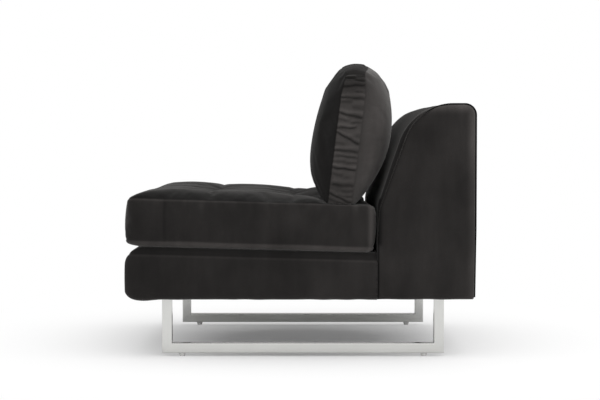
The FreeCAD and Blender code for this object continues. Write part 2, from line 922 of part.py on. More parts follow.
def save(node, shapes):
    solids = [solid for shape in shapes for solid in shape.Solids]
    shape = solids[0] if len(solids) == 1 else Part.makeCompound(solids)
    shape.exportStep(os.path.join("parts", node + ".step"))
    volume = sum(solid.Volume for solid in solids)
    valid = all(solid.isValid() for solid in solids)
    print(f"{node}: {len(solids)} solids, {volume / 1000:.1f} cm3, valid {valid}")


def save_sleds():
    screws = []
    nuts = []
    inserts = []
    for side, sign in side_signs.items():
        save(f"sled_{side}_bottom_rail", [mirrored(sled_rail(), sign)])
        save(f"sled_{side}_front_leg", [mirrored(sled_leg(sled_front, 1), sign)])
        save(f"sled_{side}_rear_leg", [mirrored(sled_leg(sled_rear, -1), sign)])
        save(f"sled_{side}_top_plate", [mirrored(sled_plate(), sign)])
        for end, y in glide_places().items():
            save(f"glide_pad_{end}_{side}", [mirrored(glide_pad(y), sign)])
            save(f"glide_stem_{end}_{side}", [mirrored(glide_stem(y), sign)])
            inserts.append(mirrored(glide_insert(y), sign))
        screws += [mirrored(sled_screw(x, y), sign) for x, y in screw_points()]
        nuts += [mirrored(tee_nut(x, y), sign) for x, y in screw_points()]
    save("sled_screws", screws)
    save("sled_tee_nuts", nuts)
    save("glide_inserts", inserts)


def save_seat_box():
    for side, sign in side_signs.items():
        save(f"leg_board_{side}", [mirrored(leg_board_left(), sign)])
        save(f"base_side_rail_{side}", [mirrored(side_rail_left(), sign)])
    save("base_front_rail", [base_front_rail()])
    save("base_rear_rail", [base_rear_rail()])
    save("base_cross_rail", [base_cross_rail()])
    save("base_corner_blocks", corner_blocks())
    save("dust_cover", [dust_cover()])
    spring_lines = row(spring_count, spring_pitch)
    save("seat_springs", [seat_spring(x) for x in spring_lines])
    save("spring_clips", [spring_clip(x, y) for x in spring_lines for y in spring_ends()])
    save("spring_felt", [spring_felt()])
    save("seat_box_padding", [seat_box_padding()])
    cover = seat_box_cover()
    save("seat_deck_cover", [cover.common(above_deck_seam())])
    save("seat_box_border", [cover.cut(above_deck_seam())])


def save_back():
    for side, sign in side_signs.items():
        save(f"back_side_frame_{side}", [mirrored(back_side_frame_left(), sign)])
        save(f"back_side_cover_{side}", [mirrored(back_side_cover_left(), sign)])
        save(f"back_welt_{side}", [mirrored(back_welt_left(), sign)])
    save("back_front_rail", [back_front_rail()])
    mid_top = mid_rail_start + mid_rail_height
    inset = back_frame_inset
    thick = back_rail_depth
    save("back_mid_rail", [slope_block(-ply_half, ply_half, mid_rail_start, mid_top, inset, thick)])
    save("back_top_rail", [slope_block(-ply_half, ply_half, top_rail_start, top_rail_end, inset, thick)])
    save("back_crown_rail", [back_crown_rail()])
    save("back_rear_board", [back_rear_board()])
    save("back_webbing", [back_strap(x) for x in row(webbing_count, webbing_pitch)])
    signs = side_signs.values()
    save("back_bolts", [mirrored(back_bolt(y), sign) for sign in signs for y in bolt_points()])
    save("back_bolt_nuts", [mirrored(back_nut(y), sign) for sign in signs for y in bolt_points()])
    save("back_padding", [back_padding()])
    save("back_front_cover", [back_front_cover()])
    save("back_rear_cover", [back_rear_cover()])


def save_cushions():
    top, boxing, bottom = seat_cushion_cover()
    save("seat_cushion_top", [top])
    save("seat_cushion_boxing", [boxing])
    save("seat_cushion_bottom", [bottom])
    save("seat_cushion_foam", [seat_cushion_foam()])
    save("seat_cushion_ties", seat_cushion_ties())
    front, rear, boxing = back_cushion_cover()
    save("back_cushion_front", [front])
    save("back_cushion_rear", [rear])
    save("back_cushion_boxing", [boxing])
    save("back_cushion_filling", [pillow_form(cloth + air)])


os.makedirs("parts", exist_ok=True)
save_sleds()
save_seat_box()
save_back()
save_cushions()
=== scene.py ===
import bpy
import bmesh
import json
import math
import random
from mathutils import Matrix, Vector, noise
from mathutils.bvhtree import BVHTree


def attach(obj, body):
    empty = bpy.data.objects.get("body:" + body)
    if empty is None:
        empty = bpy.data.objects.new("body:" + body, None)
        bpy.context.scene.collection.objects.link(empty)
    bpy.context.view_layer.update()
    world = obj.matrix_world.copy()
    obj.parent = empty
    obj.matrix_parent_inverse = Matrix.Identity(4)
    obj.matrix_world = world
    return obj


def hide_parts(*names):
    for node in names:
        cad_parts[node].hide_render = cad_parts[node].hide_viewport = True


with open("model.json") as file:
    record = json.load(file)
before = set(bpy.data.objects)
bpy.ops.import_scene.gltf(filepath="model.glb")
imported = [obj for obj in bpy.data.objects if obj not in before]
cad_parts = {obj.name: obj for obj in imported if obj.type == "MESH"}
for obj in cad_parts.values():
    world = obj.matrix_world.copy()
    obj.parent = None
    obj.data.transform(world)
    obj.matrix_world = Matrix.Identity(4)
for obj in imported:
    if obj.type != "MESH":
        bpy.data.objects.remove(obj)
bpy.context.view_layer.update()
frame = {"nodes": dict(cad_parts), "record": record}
nodes = frame["nodes"]
scene = bpy.context.scene
print("frame loaded")


# Camera
camera = {
    "place": (4.237, 0.004, 0.5435),
    "pitch": 2.18,
    "turn": 0.074,
    "lens": 92.9,
}

bpy.ops.object.select_all(action="DESELECT")
bpy.ops.object.camera_add(location=camera["place"])
view = bpy.context.object
view.rotation_euler = (math.radians(90 - camera["pitch"]), 0, math.radians(90 + camera["turn"]))
view.data.lens = camera["lens"]
view.data.sensor_width = 36
scene.camera = view
scene.view_settings.view_transform = "Standard"


# Small node helpers
def newMaterial(name):
    material = bpy.data.materials.new(name)
    material.use_nodes = True
    material.node_tree.nodes.clear()
    return material, material.node_tree


def addNode(tree, kind, links=None, **values):
    node = tree.nodes.new(kind)
    for key, value in values.items():
        if hasattr(node, key) and key not in node.inputs:
            setattr(node, key, value)
        else:
            node.inputs[key].default_value = value
    for key, source in (links or {}).items():
        tree.links.new(source, node.inputs[key])
    return node


def noiseAt(tree, coords, scale, stretch=(1, 1, 1), detail=3.0, rough=0.5):
    mapping = addNode(tree, "ShaderNodeMapping", {"Vector": coords})
    mapping.inputs["Scale"].default_value = stretch
    texture = addNode(tree, "ShaderNodeTexNoise", {"Vector": mapping.outputs["Vector"]})
    texture.inputs["Scale"].default_value = scale
    texture.inputs["Detail"].default_value = detail
    texture.inputs["Roughness"].default_value = rough
    return texture.outputs["Fac"]


def spread(tree, value, low, high, outLow, outHigh):
    node = addNode(tree, "ShaderNodeMapRange", {"Value": value})
    node.inputs["From Min"].default_value = low
    node.inputs["From Max"].default_value = high
    node.inputs["To Min"].default_value = outLow
    node.inputs["To Max"].default_value = outHigh
    return node.outputs["Result"]


def times(tree, first, second, operation="MULTIPLY"):
    node = tree.nodes.new("ShaderNodeMath")
    node.operation = operation
    for slot, value in enumerate((first, second)):
        if isinstance(value, (int, float)):
            node.inputs[slot].default_value = value
        else:
            tree.links.new(value, node.inputs[slot])
    return node.outputs[0]


def tinted(tree, colour, factor):
    node = tree.nodes.new("ShaderNodeVectorMath")
    node.operation = "SCALE"
    node.inputs[0].default_value = colour
    tree.links.new(factor, node.inputs["Scale"])
    return node.outputs[0]


def bumpOf(tree, height, strength, distance):
    node = addNode(tree, "ShaderNodeBump", {"Height": height})
    node.inputs["Strength"].default_value = strength
    node.inputs["Distance"].default_value = distance
    return node.outputs["Normal"]


def finishMaterial(tree, shader):
    out = tree.nodes.new("ShaderNodeOutputMaterial")
    tree.links.new(shader.outputs[0], out.inputs["Surface"])


# Velvet: dark pile, brushed streaks, soft sheen
velvet = {
    "pile": (0.0135, 0.0123, 0.0118),
    "sheen": 0.22,
    "shadeSheen": 0.045,
    "topPaintedShadeSheen": 0.15,
    "sheenRoughness": 0.40,
    "sheenTint": (0.93, 0.92, 0.90, 1),
}


def makeVelvet(name, sheen):
    material, tree = newMaterial(name)
    coords = tree.nodes.new("ShaderNodeTexCoord").outputs["Object"]
    blotch = spread(tree, noiseAt(tree, coords, 6.5, (1, 1, 0.8), 3.0), 0.32, 0.68, 0.70, 1.32)
    streak = spread(tree, noiseAt(tree, coords, 30.0, (1, 1, 0.22), 4.0, 0.6), 0.28, 0.72, 0.86, 1.14)
    pile = spread(tree, noiseAt(tree, coords, 900.0, (1, 1, 1), 2.0), 0.3, 0.7, 0.85, 1.15)
    # The per-point attribute scales the pile colour: partly the lie of the pile, partly painted light and
    # shade
    napAndPaintedLight = addNode(tree, "ShaderNodeAttribute", attribute_name="napAndPaintedLight").outputs["Fac"]
    shade = times(tree, times(tree, times(tree, blotch, streak), pile), napAndPaintedLight)
    shader = tree.nodes.new("ShaderNodeBsdfPrincipled")
    tree.links.new(tinted(tree, velvet["pile"], shade), shader.inputs["Base Color"])
    shader.inputs["Roughness"].default_value = 0.9
    shader.inputs["Specular IOR Level"].default_value = 0.12
    shader.inputs["Sheen Weight"].default_value = sheen
    shader.inputs["Sheen Roughness"].default_value = velvet["sheenRoughness"]
    shader.inputs["Sheen Tint"].default_value = velvet["sheenTint"]
    fine = noiseAt(tree, coords, 700.0, (1, 1, 1), 2.0)
    brushed = noiseAt(tree, coords, 60.0, (1, 1, 0.3), 3.0)
    height = times(tree, times(tree, brushed, 2.0), fine, "ADD")
    tree.links.new(bumpOf(tree, height, 0.25, 0.0008), shader.inputs["Normal"])
    finishMaterial(tree, shader)
    return material


# Copies of one velvet that differ only in sheen: the weaker-sheen copies paint shade onto the faces they are
# given
velvetMain = makeVelvet("velvet", velvet["sheen"])
velvetPaintedShade = makeVelvet("velvetPaintedShade", velvet["shadeSheen"])
velvetTopPaintedShade = makeVelvet("velvetTopPaintedShade", velvet["topPaintedShadeSheen"])


# Brushed stainless steel of the sleds
def makeSteel(name, colour, roughness, stretch):
    material, tree = newMaterial(name)
    coords = tree.nodes.new("ShaderNodeTexCoord").outputs["Object"]
    grain = noiseAt(tree, coords, 60.0, stretch, 4.0, 0.6)
    cloud = noiseAt(tree, coords, 7.0, (1, 1, 1), 2.0)
    shader = tree.nodes.new("ShaderNodeBsdfPrincipled")
    shader.inputs["Metallic"].default_value = 1.0
    brushed = spread(tree, grain, 0.3, 0.7, 0.975, 1.02)
    shade = times(tree, brushed, spread(tree, cloud, 0.3, 0.7, 0.97, 1.03))
    tree.links.new(tinted(tree, colour, shade), shader.inputs["Base Color"])
    rough = spread(tree, grain, 0.3, 0.7, roughness - 0.03, roughness + 0.04)
    tree.links.new(rough, shader.inputs["Roughness"])
    tree.links.new(bumpOf(tree, grain, 0.03, 0.0001), shader.inputs["Normal"])
    finishMaterial(tree, shader)
    return material


# Plain workshop finishes of the inner pieces
def makeMatte(name, light, dark, scale, stretch, roughness, bump):
    material, tree = newMaterial(name)
    coords = tree.nodes.new("ShaderNodeTexCoord").outputs["Object"]
    grain = noiseAt(tree, coords, scale, stretch, 5.0, 0.6)
    mix = addNode(tree, "ShaderNodeMix", data_type="RGBA")
    tree.links.new(spread(tree, grain, 0.35, 0.65, 0.0, 1.0), mix.inputs["Factor"])
    mix.inputs[6].default_value = (*dark, 1)
    mix.inputs[7].default_value = (*light, 1)
    shader = tree.nodes.new("ShaderNodeBsdfPrincipled")
    tree.links.new(mix.outputs[2], shader.inputs["Base Color"])
    rough = spread(tree, grain, 0.3, 0.7, roughness - 0.08, roughness + 0.08)
    tree.links.new(rough, shader.inputs["Roughness"])
    tree.links.new(bumpOf(tree, grain, bump, 0.0006), shader.inputs["Normal"])
    finishMaterial(tree, shader)
    return material


railSteel = makeSteel("brushedRail", (0.61, 0.61, 0.59), 0.20, (6, 0.12, 6))
legSteel = makeSteel("brushedLeg", (0.59, 0.59, 0.575), 0.20, (6, 6, 0.12))
zincSteel = makeSteel("zincSteel", (0.52, 0.53, 0.55), 0.36, (2, 2, 2))
springSteel = makeSteel("springSteel", (0.20, 0.21, 0.22), 0.42, (2, 2, 2))
glidePlastic = makeMatte("glidePlastic", (0.62, 0.62, 0.61), (0.52, 0.52, 0.51), 300, (1, 1, 1), 0.45, 0.1)
frameWood = makeMatte("frameWood", (0.55, 0.38, 0.21), (0.40, 0.25, 0.13), 14, (8, 0.8, 8), 0.6, 0.25)
plyWood = makeMatte("plyWood", (0.60, 0.44, 0.27), (0.47, 0.32, 0.18), 12, (8, 8, 0.8), 0.6, 0.2)
hardBoard = makeMatte("hardBoard", (0.28, 0.19, 0.11), (0.21, 0.14, 0.08), 120, (1, 1, 1), 0.7, 0.2)
feltGrey = makeMatte("feltGrey", (0.30, 0.30, 0.29), (0.19, 0.19, 0.19), 160, (1, 1, 1), 0.9, 0.5)
dustCloth = makeMatte("dustCloth", (0.020, 0.020, 0.021), (0.011, 0.011, 0.012), 420, (1, 1, 1), 0.85, 0.4)
webStrap = makeMatte("webStrap", (0.10, 0.10, 0.10), (0.05, 0.05, 0.05), 260, (1, 1, 1), 0.8, 0.5)
foamCream = makeMatte("foamCream", (0.72, 0.66, 0.46), (0.62, 0.56, 0.38), 260, (1, 1, 1), 0.9, 0.5)
slotFinish = {
    "zinc_steel": zincSteel,
    "spring_steel": springSteel,
    "glide_plastic": glidePlastic,
    "plywood": plyWood,
    "hardboard": hardBoard,
    "frame_wood": frameWood,
    "foam": foamCream,
    "fibre_filling": foamCream,
    "felt": feltGrey,
    "dust_cloth": dustCloth,
    "webbing": webStrap,
    "velvet": velvetMain,
}
slotOf = {entry["node"]: entry["material_slot"] for entry in frame["record"]["subparts"]}
for name, node in nodes.items():
    slotName = slotOf.get(name)
    if slotName == "polished_steel":
        finish = railSteel if "rail" in name or "plate" in name else legSteel
    else:
        finish = slotFinish.get(slotName, frameWood)
    node.data.materials.clear()
    node.data.materials.append(finish)
print("materials ready")


# Editing helpers
def startEdit(piece, mode="FACE"):
    bpy.ops.object.select_all(action="DESELECT")
    piece.select_set(True)
    bpy.context.view_layer.objects.active = piece
    bpy.ops.object.mode_set(mode="EDIT")
    bpy.ops.mesh.select_mode(type=mode)


def endEdit():
    bpy.ops.object.mode_set(mode="OBJECT")


def pickEdges(piece, test):
    mesh = bmesh.from_edit_mesh(piece.data)
    bpy.ops.mesh.select_all(action="DESELECT")
    for edge in mesh.edges:
        a = edge.verts[0].co
        b = edge.verts[1].co
        edge.select = test(a, b)
    mesh.select_flush_mode()
    bmesh.update_edit_mesh(piece.data)


def addBox(name, low, high, cells, cuts):
    # A block of even squares: a grid, drawn out to its depth, with the sides divided
    bpy.ops.object.select_all(action="DESELECT")
    middle = [(low[axis] + high[axis]) / 2 for axis in (0, 1)]
    bpy.ops.mesh.primitive_grid_add(
        x_subdivisions=cells[0],
        y_subdivisions=cells[1],
        size=1,
        location=(middle[0], middle[1], low[2]),
    )
    piece = bpy.context.object
    piece.name = name
    piece.data.name = name
    piece.scale = (high[0] - low[0], high[1] - low[1], 1)
    bpy.ops.object.transform_apply(location=True, rotation=True, scale=True)
    startEdit(piece)
    bpy.ops.mesh.select_all(action="SELECT")
    rise = (0, 0, high[2] - low[2])
    bpy.ops.mesh.extrude_region_move(TRANSFORM_OT_translate={"value": rise})
    bpy.ops.mesh.select_mode(type="EDGE")
    pickEdges(piece, lambda a, b: abs(a.z - b.z) > rise[2] / 2)
    bpy.ops.mesh.subdivide(number_cuts=cuts)
    bpy.ops.mesh.select_all(action="SELECT")
    bpy.ops.mesh.normals_make_consistent(inside=False)
    endEdit()
    return piece


def moveVertices(piece, move):
    for vertex in piece.data.vertices:
        vertex.co = move(vertex.co)
    piece.data.update()


def setNapAndPaintedLight(piece, shade):
    # Writes the per-point shade factor: the lie of the pile and painted light and shade
    layer = piece.data.attributes.new("napAndPaintedLight", "FLOAT", "POINT")
    for vertex in piece.data.vertices:
        layer.data[vertex.index].value = shade(vertex.co)


def smooth(low, high, value):
    t = min(1.0, max(0.0, (value - low) / (high - low)))
    return t * t * (3 - 2 * t)


def roll(seed, point, scale):
    return noise.noise(Vector((point[0] * scale + seed, point[1] * scale, point[2] * scale)))


def subdivided(piece, levels):
    bpy.ops.object.select_all(action="DESELECT")
    piece.select_set(True)
    bpy.context.view_layer.objects.active = piece
    modifier = piece.modifiers.new("even", "SUBSURF")
    modifier.levels = levels
    modifier.render_levels = levels
    bpy.ops.object.modifier_apply(modifier=modifier.name)


def finishPiece(piece, body, replaced, other=None, shaded=None):
    piece.data.materials.clear()
    piece.data.materials.append(velvetMain)
    if shaded is not None:
        piece.data.materials.append(other)
    for polygon in piece.data.polygons:
        polygon.use_smooth = True
        if shaded is not None and shaded(polygon):
            polygon.material_index = 1
    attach(piece, body)
    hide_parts(*replaced)


# The seat tips back about the front edge of its deck
pitch = {"angle": math.radians(1.5), "y": -0.435, "z": 0.281}


def pitched(point):
    y = point[1] - pitch["y"]
    z = point[2] - pitch["z"]
    c = math.cos(pitch["angle"])
    s = math.sin(pitch["angle"])
    return Vector((point[0], pitch["y"] + y * c + z * s, pitch["z"] + z * c - y * s))


def rearLight(y):
    # Painted light: the pile colour is made paler towards the rear, where the light comes from
    return 0.95 + 0.55 * smooth(-0.44, 0.19, y)


# Seat box: one padded block with its underside let in for the dust cover
seatBox = {
    "half": 0.4,
    "front": -0.4395,
    "rear": 0.1917,
    "hem": 0.1474,
    "deck": 0.281,
    "waist": 0.216,
    "radii": (0.018, 0.050, 0.046, 0.022),
    "seamDrop": 0.020,
    "groove": 0.0016,
    "grooveReach": 0.0035,
    "belly": 0.0016,
    "tuck": 0.0007,
    "drawSide": 0.0016,
    "drawFront": 0.0012,
    "frontSag": 0.004,
    "underside": 0.1615,
    "openHalf": 0.384,
    "openFront": 0.026,
}
boxCover = addBox(
    "seatBoxCover",
    (-seatBox["half"], seatBox["front"], seatBox["hem"]),
    (seatBox["half"], seatBox["rear"], seatBox["deck"]),
    (112, 88),
    40,
)


def roundBox(point):
    x, y, z = point
    rx, ry, rTop, rLow = seatBox["radii"]
    half = seatBox["half"]
    rz = rTop if z > seatBox["waist"] else rLow
    qx = min(max(x, rx - half), half - rx)
    qy = max(y, seatBox["front"] + ry)
    qz = min(max(z, seatBox["hem"] + rLow), seatBox["deck"] - rTop)
    nx = (x - qx) / rx
    ny = (y - qy) / ry
    nz = (z - qz) / rz
    length = math.sqrt(nx * nx + ny * ny + nz * nz)
    if length > 1e-6:
        x = qx + rx * nx / length if abs(nx) > 1e-6 else x
        y = qy + ry * ny / length if abs(ny) > 1e-6 else y
        z = qz + rz * nz / length if abs(nz) > 1e-6 else z
    return x, y, z


def seatBoxShape(point):
    x, y, z = roundBox(point)
    share = (z - seatBox["hem"]) / (seatBox["deck"] - seatBox["hem"])
    z -= share * (y - seatBox["front"]) * math.tan(pitch["angle"])
    seam = seatBox["deck"] - seatBox["seamDrop"] - (y - seatBox["front"]) * math.tan(pitch["angle"])
    groove = math.exp(-((z - seam) / seatBox["grooveReach"]) ** 2) * seatBox["groove"]
    side = smooth(0.375, 0.395, abs(x))
    front = smooth(-0.41, -0.428, y)
    wave = 0.0013 * roll(3.0, (x, y, z), 9.0) + 0.0007 * roll(8.0, (x, y, z * 0.4), 26.0)
    belly = seatBox["belly"] * math.sin(math.pi * min(1, max(0, share)))
    tuck = seatBox["tuck"] * smooth(seatBox["rear"] - 0.012, seatBox["rear"] - 0.002, y)
    x -= math.copysign(1, x) * (groove + tuck + seatBox["drawSide"] - belly - wave) * side
    y += (groove + seatBox["drawFront"] - belly - wave) * front
    low = math.exp(-((z - seatBox["hem"]) / 0.012) ** 2)
    z += low * (0.0014 * roll(5.0, (x, y, 0.0), 24.0) - seatBox["frontSag"] * smooth(-0.33, -0.42, y))
    if abs(point.x) < seatBox["openHalf"] and point.y > seatBox["front"] + seatBox["openFront"]:
        z = max(z, seatBox["underside"])
    return Vector((x, y, z))


def boxPaintedLight(point):
    # Painted shade above the seam of the deck, painted highlights along that seam and the hem, and painted
    # light towards the rear
    drop = (point.y - seatBox["front"]) * math.tan(pitch["angle"])
    seam = point.z - seatBox["deck"] + seatBox["seamDrop"] + drop
    shade = 0.9 - 0.35 * smooth(0.001, 0.004, seam) + 0.45 * math.exp(-((seam + 0.001) / 0.002) ** 2)
    shade += 0.4 * smooth(seatBox["hem"] + 0.005, seatBox["hem"] + 0.001, point.z)
    return shade * rearLight(point.y)


moveVertices(boxCover, seatBoxShape)
setNapAndPaintedLight(boxCover, boxPaintedLight)
finishPiece(boxCover, "frame", ["seat_box_border", "seat_deck_cover", "seat_box_padding"])
print("seat box ready")


# Back block: cut from a block by its slope, then rounded
backBlock = {
    "half": 0.3965,
    "front": 0.192,
    "rear": 0.4352,
    "hem": 0.1486,
    "top": 0.6342,
    "bend": 0.385,
    "lean": math.radians(19.3),
    "rollReach": 0.0922,
    "bendReach": 0.0102,
    "rearRadius": 0.026,
    "edge": 0.011,
    "voxel": 0.0048,
    "belly": 0.0026,
    "seamTop": 0.37,
    "openHalf": 0.380,
    "openRear": 0.399,
    "panelEdge": 0.383,
}
bpy.ops.object.select_all(action="DESELECT")
bpy.ops.mesh.primitive_cube_add(
    size=1,
    location=(
        0,
        (backBlock["front"] + backBlock["rear"]) / 2,
        (backBlock["hem"] + backBlock["top"]) / 2,
    ),
    scale=(
        2 * backBlock["half"],
        backBlock["rear"] - backBlock["front"],
        backBlock["top"] - backBlock["hem"],
    ),
)
backCover = bpy.context.object
backCover.name = "backCover"
bpy.ops.object.transform_apply(location=True, rotation=True, scale=True)
startEdit(backCover)
lean = backBlock["lean"]
bpy.ops.mesh.select_all(action="SELECT")
bpy.ops.mesh.bisect(
    plane_co=(0, backBlock["front"], backBlock["bend"]),
    plane_no=(0, -math.cos(lean), math.sin(lean)),
    use_fill=True,
    clear_outer=True,
)
bpy.ops.mesh.select_mode(type="EDGE")
rollY = backBlock["front"] + (backBlock["top"] - backBlock["bend"]) * math.tan(lean)


def alongX(y, z):
    # Picks the one long edge across the block at this height and depth
    def test(a, b):
        near = all(abs(end.y - y) < 1e-3 and abs(end.z - z) < 1e-3 for end in (a, b))
        return near and abs(a.x - b.x) > 0.1
    return test


pickEdges(backCover, alongX(rollY, backBlock["top"]))
bpy.ops.mesh.bevel(offset=backBlock["rollReach"], segments=18, profile=0.5, clamp_overlap=False)
pickEdges(backCover, alongX(backBlock["front"], backBlock["bend"]))
bpy.ops.mesh.bevel(offset=backBlock["bendReach"], segments=4, profile=0.5, clamp_overlap=False)
pickEdges(backCover, alongX(backBlock["rear"], backBlock["top"]))
bpy.ops.mesh.bevel(offset=backBlock["rearRadius"], segments=6, profile=0.5, clamp_overlap=False)
pickEdges(backCover, lambda a, b: abs(abs(a.x) - backBlock["half"]) < 1e-4 and abs(a.x - b.x) < 1e-4)
bpy.ops.mesh.bevel(offset=backBlock["edge"], segments=4, profile=0.5, clamp_overlap=False)
endEdit()
remesh = backCover.modifiers.new("even", "REMESH")
remesh.mode = "VOXEL"
remesh.voxel_size = backBlock["voxel"]
bpy.ops.object.modifier_apply(modifier=remesh.name)


def slopeDistance(y, z):
    # Distance behind the sloped front, measured square to it
    return (y - backBlock["front"]) * math.cos(lean) - (z - backBlock["bend"]) * math.sin(lean)


def backShape(point):
    x, y, z = point
    edge = backBlock["edge"]
    intoY = (edge + backBlock["front"] - y) / edge
    intoX = (edge + abs(x) - backBlock["half"]) / edge
    if z < backBlock["seamTop"] and intoX > 0.01 and intoY > 0.01:
        # The edge beside the seat box is a tight seam
        square = 0.9 / max(intoX, intoY) + 0.1
        x = math.copysign(backBlock["half"] - edge + edge * min(1.0, intoX * square), x)
        y = backBlock["front"] + edge - edge * min(1.0, intoY * square)
    if z < 0.323:
        y -= smooth(0.30, 0.43, y) * 0.0012 * ((0.323 - z) / 0.171) ** 2
    wave = 0.0014 * roll(11.0, (x, y, z), 7.0) + 0.0007 * roll(2.0, (x, y, z * 0.5), 22.0)
    side = smooth(0.388, 0.396, abs(x))
    inward = slopeDistance(y, z) if z > backBlock["bend"] else y - backBlock["front"]
    depth = min(backBlock["rear"] - y, backBlock["top"] - z, inward, 0.06)
    belly = backBlock["belly"] * smooth(0.004, 0.05, depth)
    x += math.copysign(1, x) * (belly + wave - 0.001) * side
    low = math.exp(-((z - backBlock["hem"]) / 0.01) ** 2)
    z += low * 0.0012 * roll(5.0, (x, y, 0.0), 22.0)
    if side < 0.5:
        crown = max(0.0, math.cos(x / 0.4 * math.pi / 2)) ** 0.5
        near = smooth(0.09, 0.02, y - rollY) * smooth(0.40, 0.50, z)
        y -= 0.006 * crown * near * smooth(0.05, 0.02, slopeDistance(y, z))
        z += 0.0095 * crown * near * smooth(0.56, 0.62, z) + wave * smooth(0.60, 0.63, z)
    if abs(x) < backBlock["openHalf"] and y < backBlock["openRear"]:
        z = max(z, seatBox["underside"])
    return Vector((x, y, z))


def backPaintedLight(point):
    # Painted highlights along the rims and the hem; painted shade on the sloped front edge, in the crack
    # beside the seat box and beside the seat cushion
    if abs(point.x) < 0.37:
        return 1.2
    rim = smooth(0.026, 0.004, min(backBlock["rear"] - point.y, backBlock["top"] - point.z))
    dim = smooth(0.016, 0.008, slopeDistance(point.y, point.z)) * smooth(0.37, 0.40, point.z)
    hem = 0.5 * smooth(backBlock["hem"] + 0.006, backBlock["hem"] + 0.001, point.z)
    inward = point.y - backBlock["front"]
    # Painted shade in the crack along the front edge, beside the seat box below and beside the seat cushion
    # above
    seam = 0.68 * smooth(0.005, 0.002, inward) * smooth(0.29, 0.28, point.z)
    gap = 0.8 * smooth(0.016, 0.005, inward) * smooth(0.28, 0.29, point.z)
    shade = 1.4 + hem + 2.1 * rim * (0.45 + 0.55 * smooth(0.2, 0.5, point.z))
    return shade * (1 - 0.5 * dim) * (1 - seam - gap)


# Painted shade: these faces take the weak-sheen velvet
def backShaded(polygon):
    x, y, z = polygon.center
    beside = 0.288 < z < 0.40 and y < backBlock["front"] + 0.0085
    return (abs(x) < backBlock["panelEdge"] and polygon.normal.y < 0.5) or beside


moveVertices(backCover, backShape)
setNapAndPaintedLight(backCover, backPaintedLight)
backReplaces = [
    "back_front_cover",
    "back_rear_cover",
    "back_side_cover_left",
    "back_side_cover_right",
    "back_padding",
]
finishPiece(
    backCover,
    "frame",
    backReplaces,
    velvetPaintedShade,
    backShaded,
)
print("back block ready")


# Piping round both side panels of the back
piping = {
    "radius": 0.0026,
    "x": 0.3865,
    "slopeX": 0.3974,
    "inset": -0.0011,
    "slopeInset": 0.012,
    "sink": 0.0022,
    "foot": 0.245,
    "bendRadius": 0.09,
    "rollRadius": 0.126,
    "rearFoot": 0.1545,
}


def arcPoints(before, here, after, radius, count):
    toBefore = (Vector(before) - Vector(here)).normalized()
    toAfter = (Vector(after) - Vector(here)).normalized()
    half = toBefore.angle(toAfter) / 2
    inward = (toBefore + toAfter).normalized()
    centre = Vector(here) + inward * (radius / math.sin(half))
    start = (Vector(here) + toBefore * (radius / math.tan(half))) - centre
    end = (Vector(here) + toAfter * (radius / math.tan(half))) - centre
    points = []
    for step in range(count + 1):
        t = step / count
        mixed = start.lerp(end, t).normalized() * radius
        points.append(centre + mixed)
    return points


def pipingPath():
    inset = piping["inset"]
    slope = piping["slopeInset"]
    frontY = backBlock["front"] + inset
    rearY = backBlock["rear"] - inset
    topZ = backBlock["top"] - inset
    bendZ = backBlock["bend"] - 0.01
    bend = (frontY + 0.006, bendZ)
    rollCorner = (rollY + slope / math.cos(lean), topZ)
    low = (frontY, piping["foot"])
    path = [Vector(low), Vector((frontY, 0.30))]
    path += arcPoints(low, bend, rollCorner, piping["bendRadius"], 6)
    path += arcPoints(bend, rollCorner, (rearY, topZ), piping["rollRadius"], 18)
    path += arcPoints(rollCorner, (rearY, topZ), (rearY, 0.3), backBlock["rearRadius"] - inset, 8)
    path += [Vector((rearY, 0.45)), Vector((rearY, 0.323)), Vector((rearY - 0.0025, piping["rearFoot"]))]
    return path


def pipingPaintedLight(point):
    # Painted light down the slope, painted shade along the top and rear and beside the seat cushion
    slope = 1.8 - 1.5 * smooth(0.28, 0.33, point.y)
    return slope * (0.3 + 0.7 * smooth(0.37, 0.43, point.z))


def addPiping(name, sign, replaced):
    curve = bpy.data.curves.new(name, "CURVE")
    curve.dimensions = "3D"
    spline = curve.splines.new("POLY")
    path = pipingPath()
    spline.points.add(len(path) - 1)
    for point, place in zip(spline.points, path):
        across = piping["slopeX"] + (piping["x"] - piping["slopeX"]) * smooth(0.30, 0.345, place[0])
        # It sinks into the seam beside the seat cushion
        across -= piping["sink"] * smooth(0.42, 0.37, place[1]) * smooth(0.30, 0.25, place[0])
        point.co = (sign * across, place[0], place[1], 1)
        point.radius = 0.45 + 0.55 * smooth(0.29, 0.345, place[0])
    curve.bevel_depth = piping["radius"]
    curve.bevel_resolution = 4
    curve.use_fill_caps = True
    cord = bpy.data.objects.new(name, curve)
    scene.collection.objects.link(cord)
    bpy.ops.object.select_all(action="DESELECT")
    cord.select_set(True)
    bpy.context.view_layer.objects.active = cord
    bpy.ops.object.convert(target="MESH")
    cord = bpy.context.object
    setNapAndPaintedLight(cord, pipingPaintedLight)
    finishPiece(cord, "frame", [replaced])


addPiping("backPipingLeft", 1, "back_welt_left")
addPiping("backPipingRight", -1, "back_welt_right")
print("piping ready")


# Cloth under pressure, with some points held
fabric = {"quality": 5, "mass": 0.3, "stretch": 12, "shear": 5, "bend": 0.6}


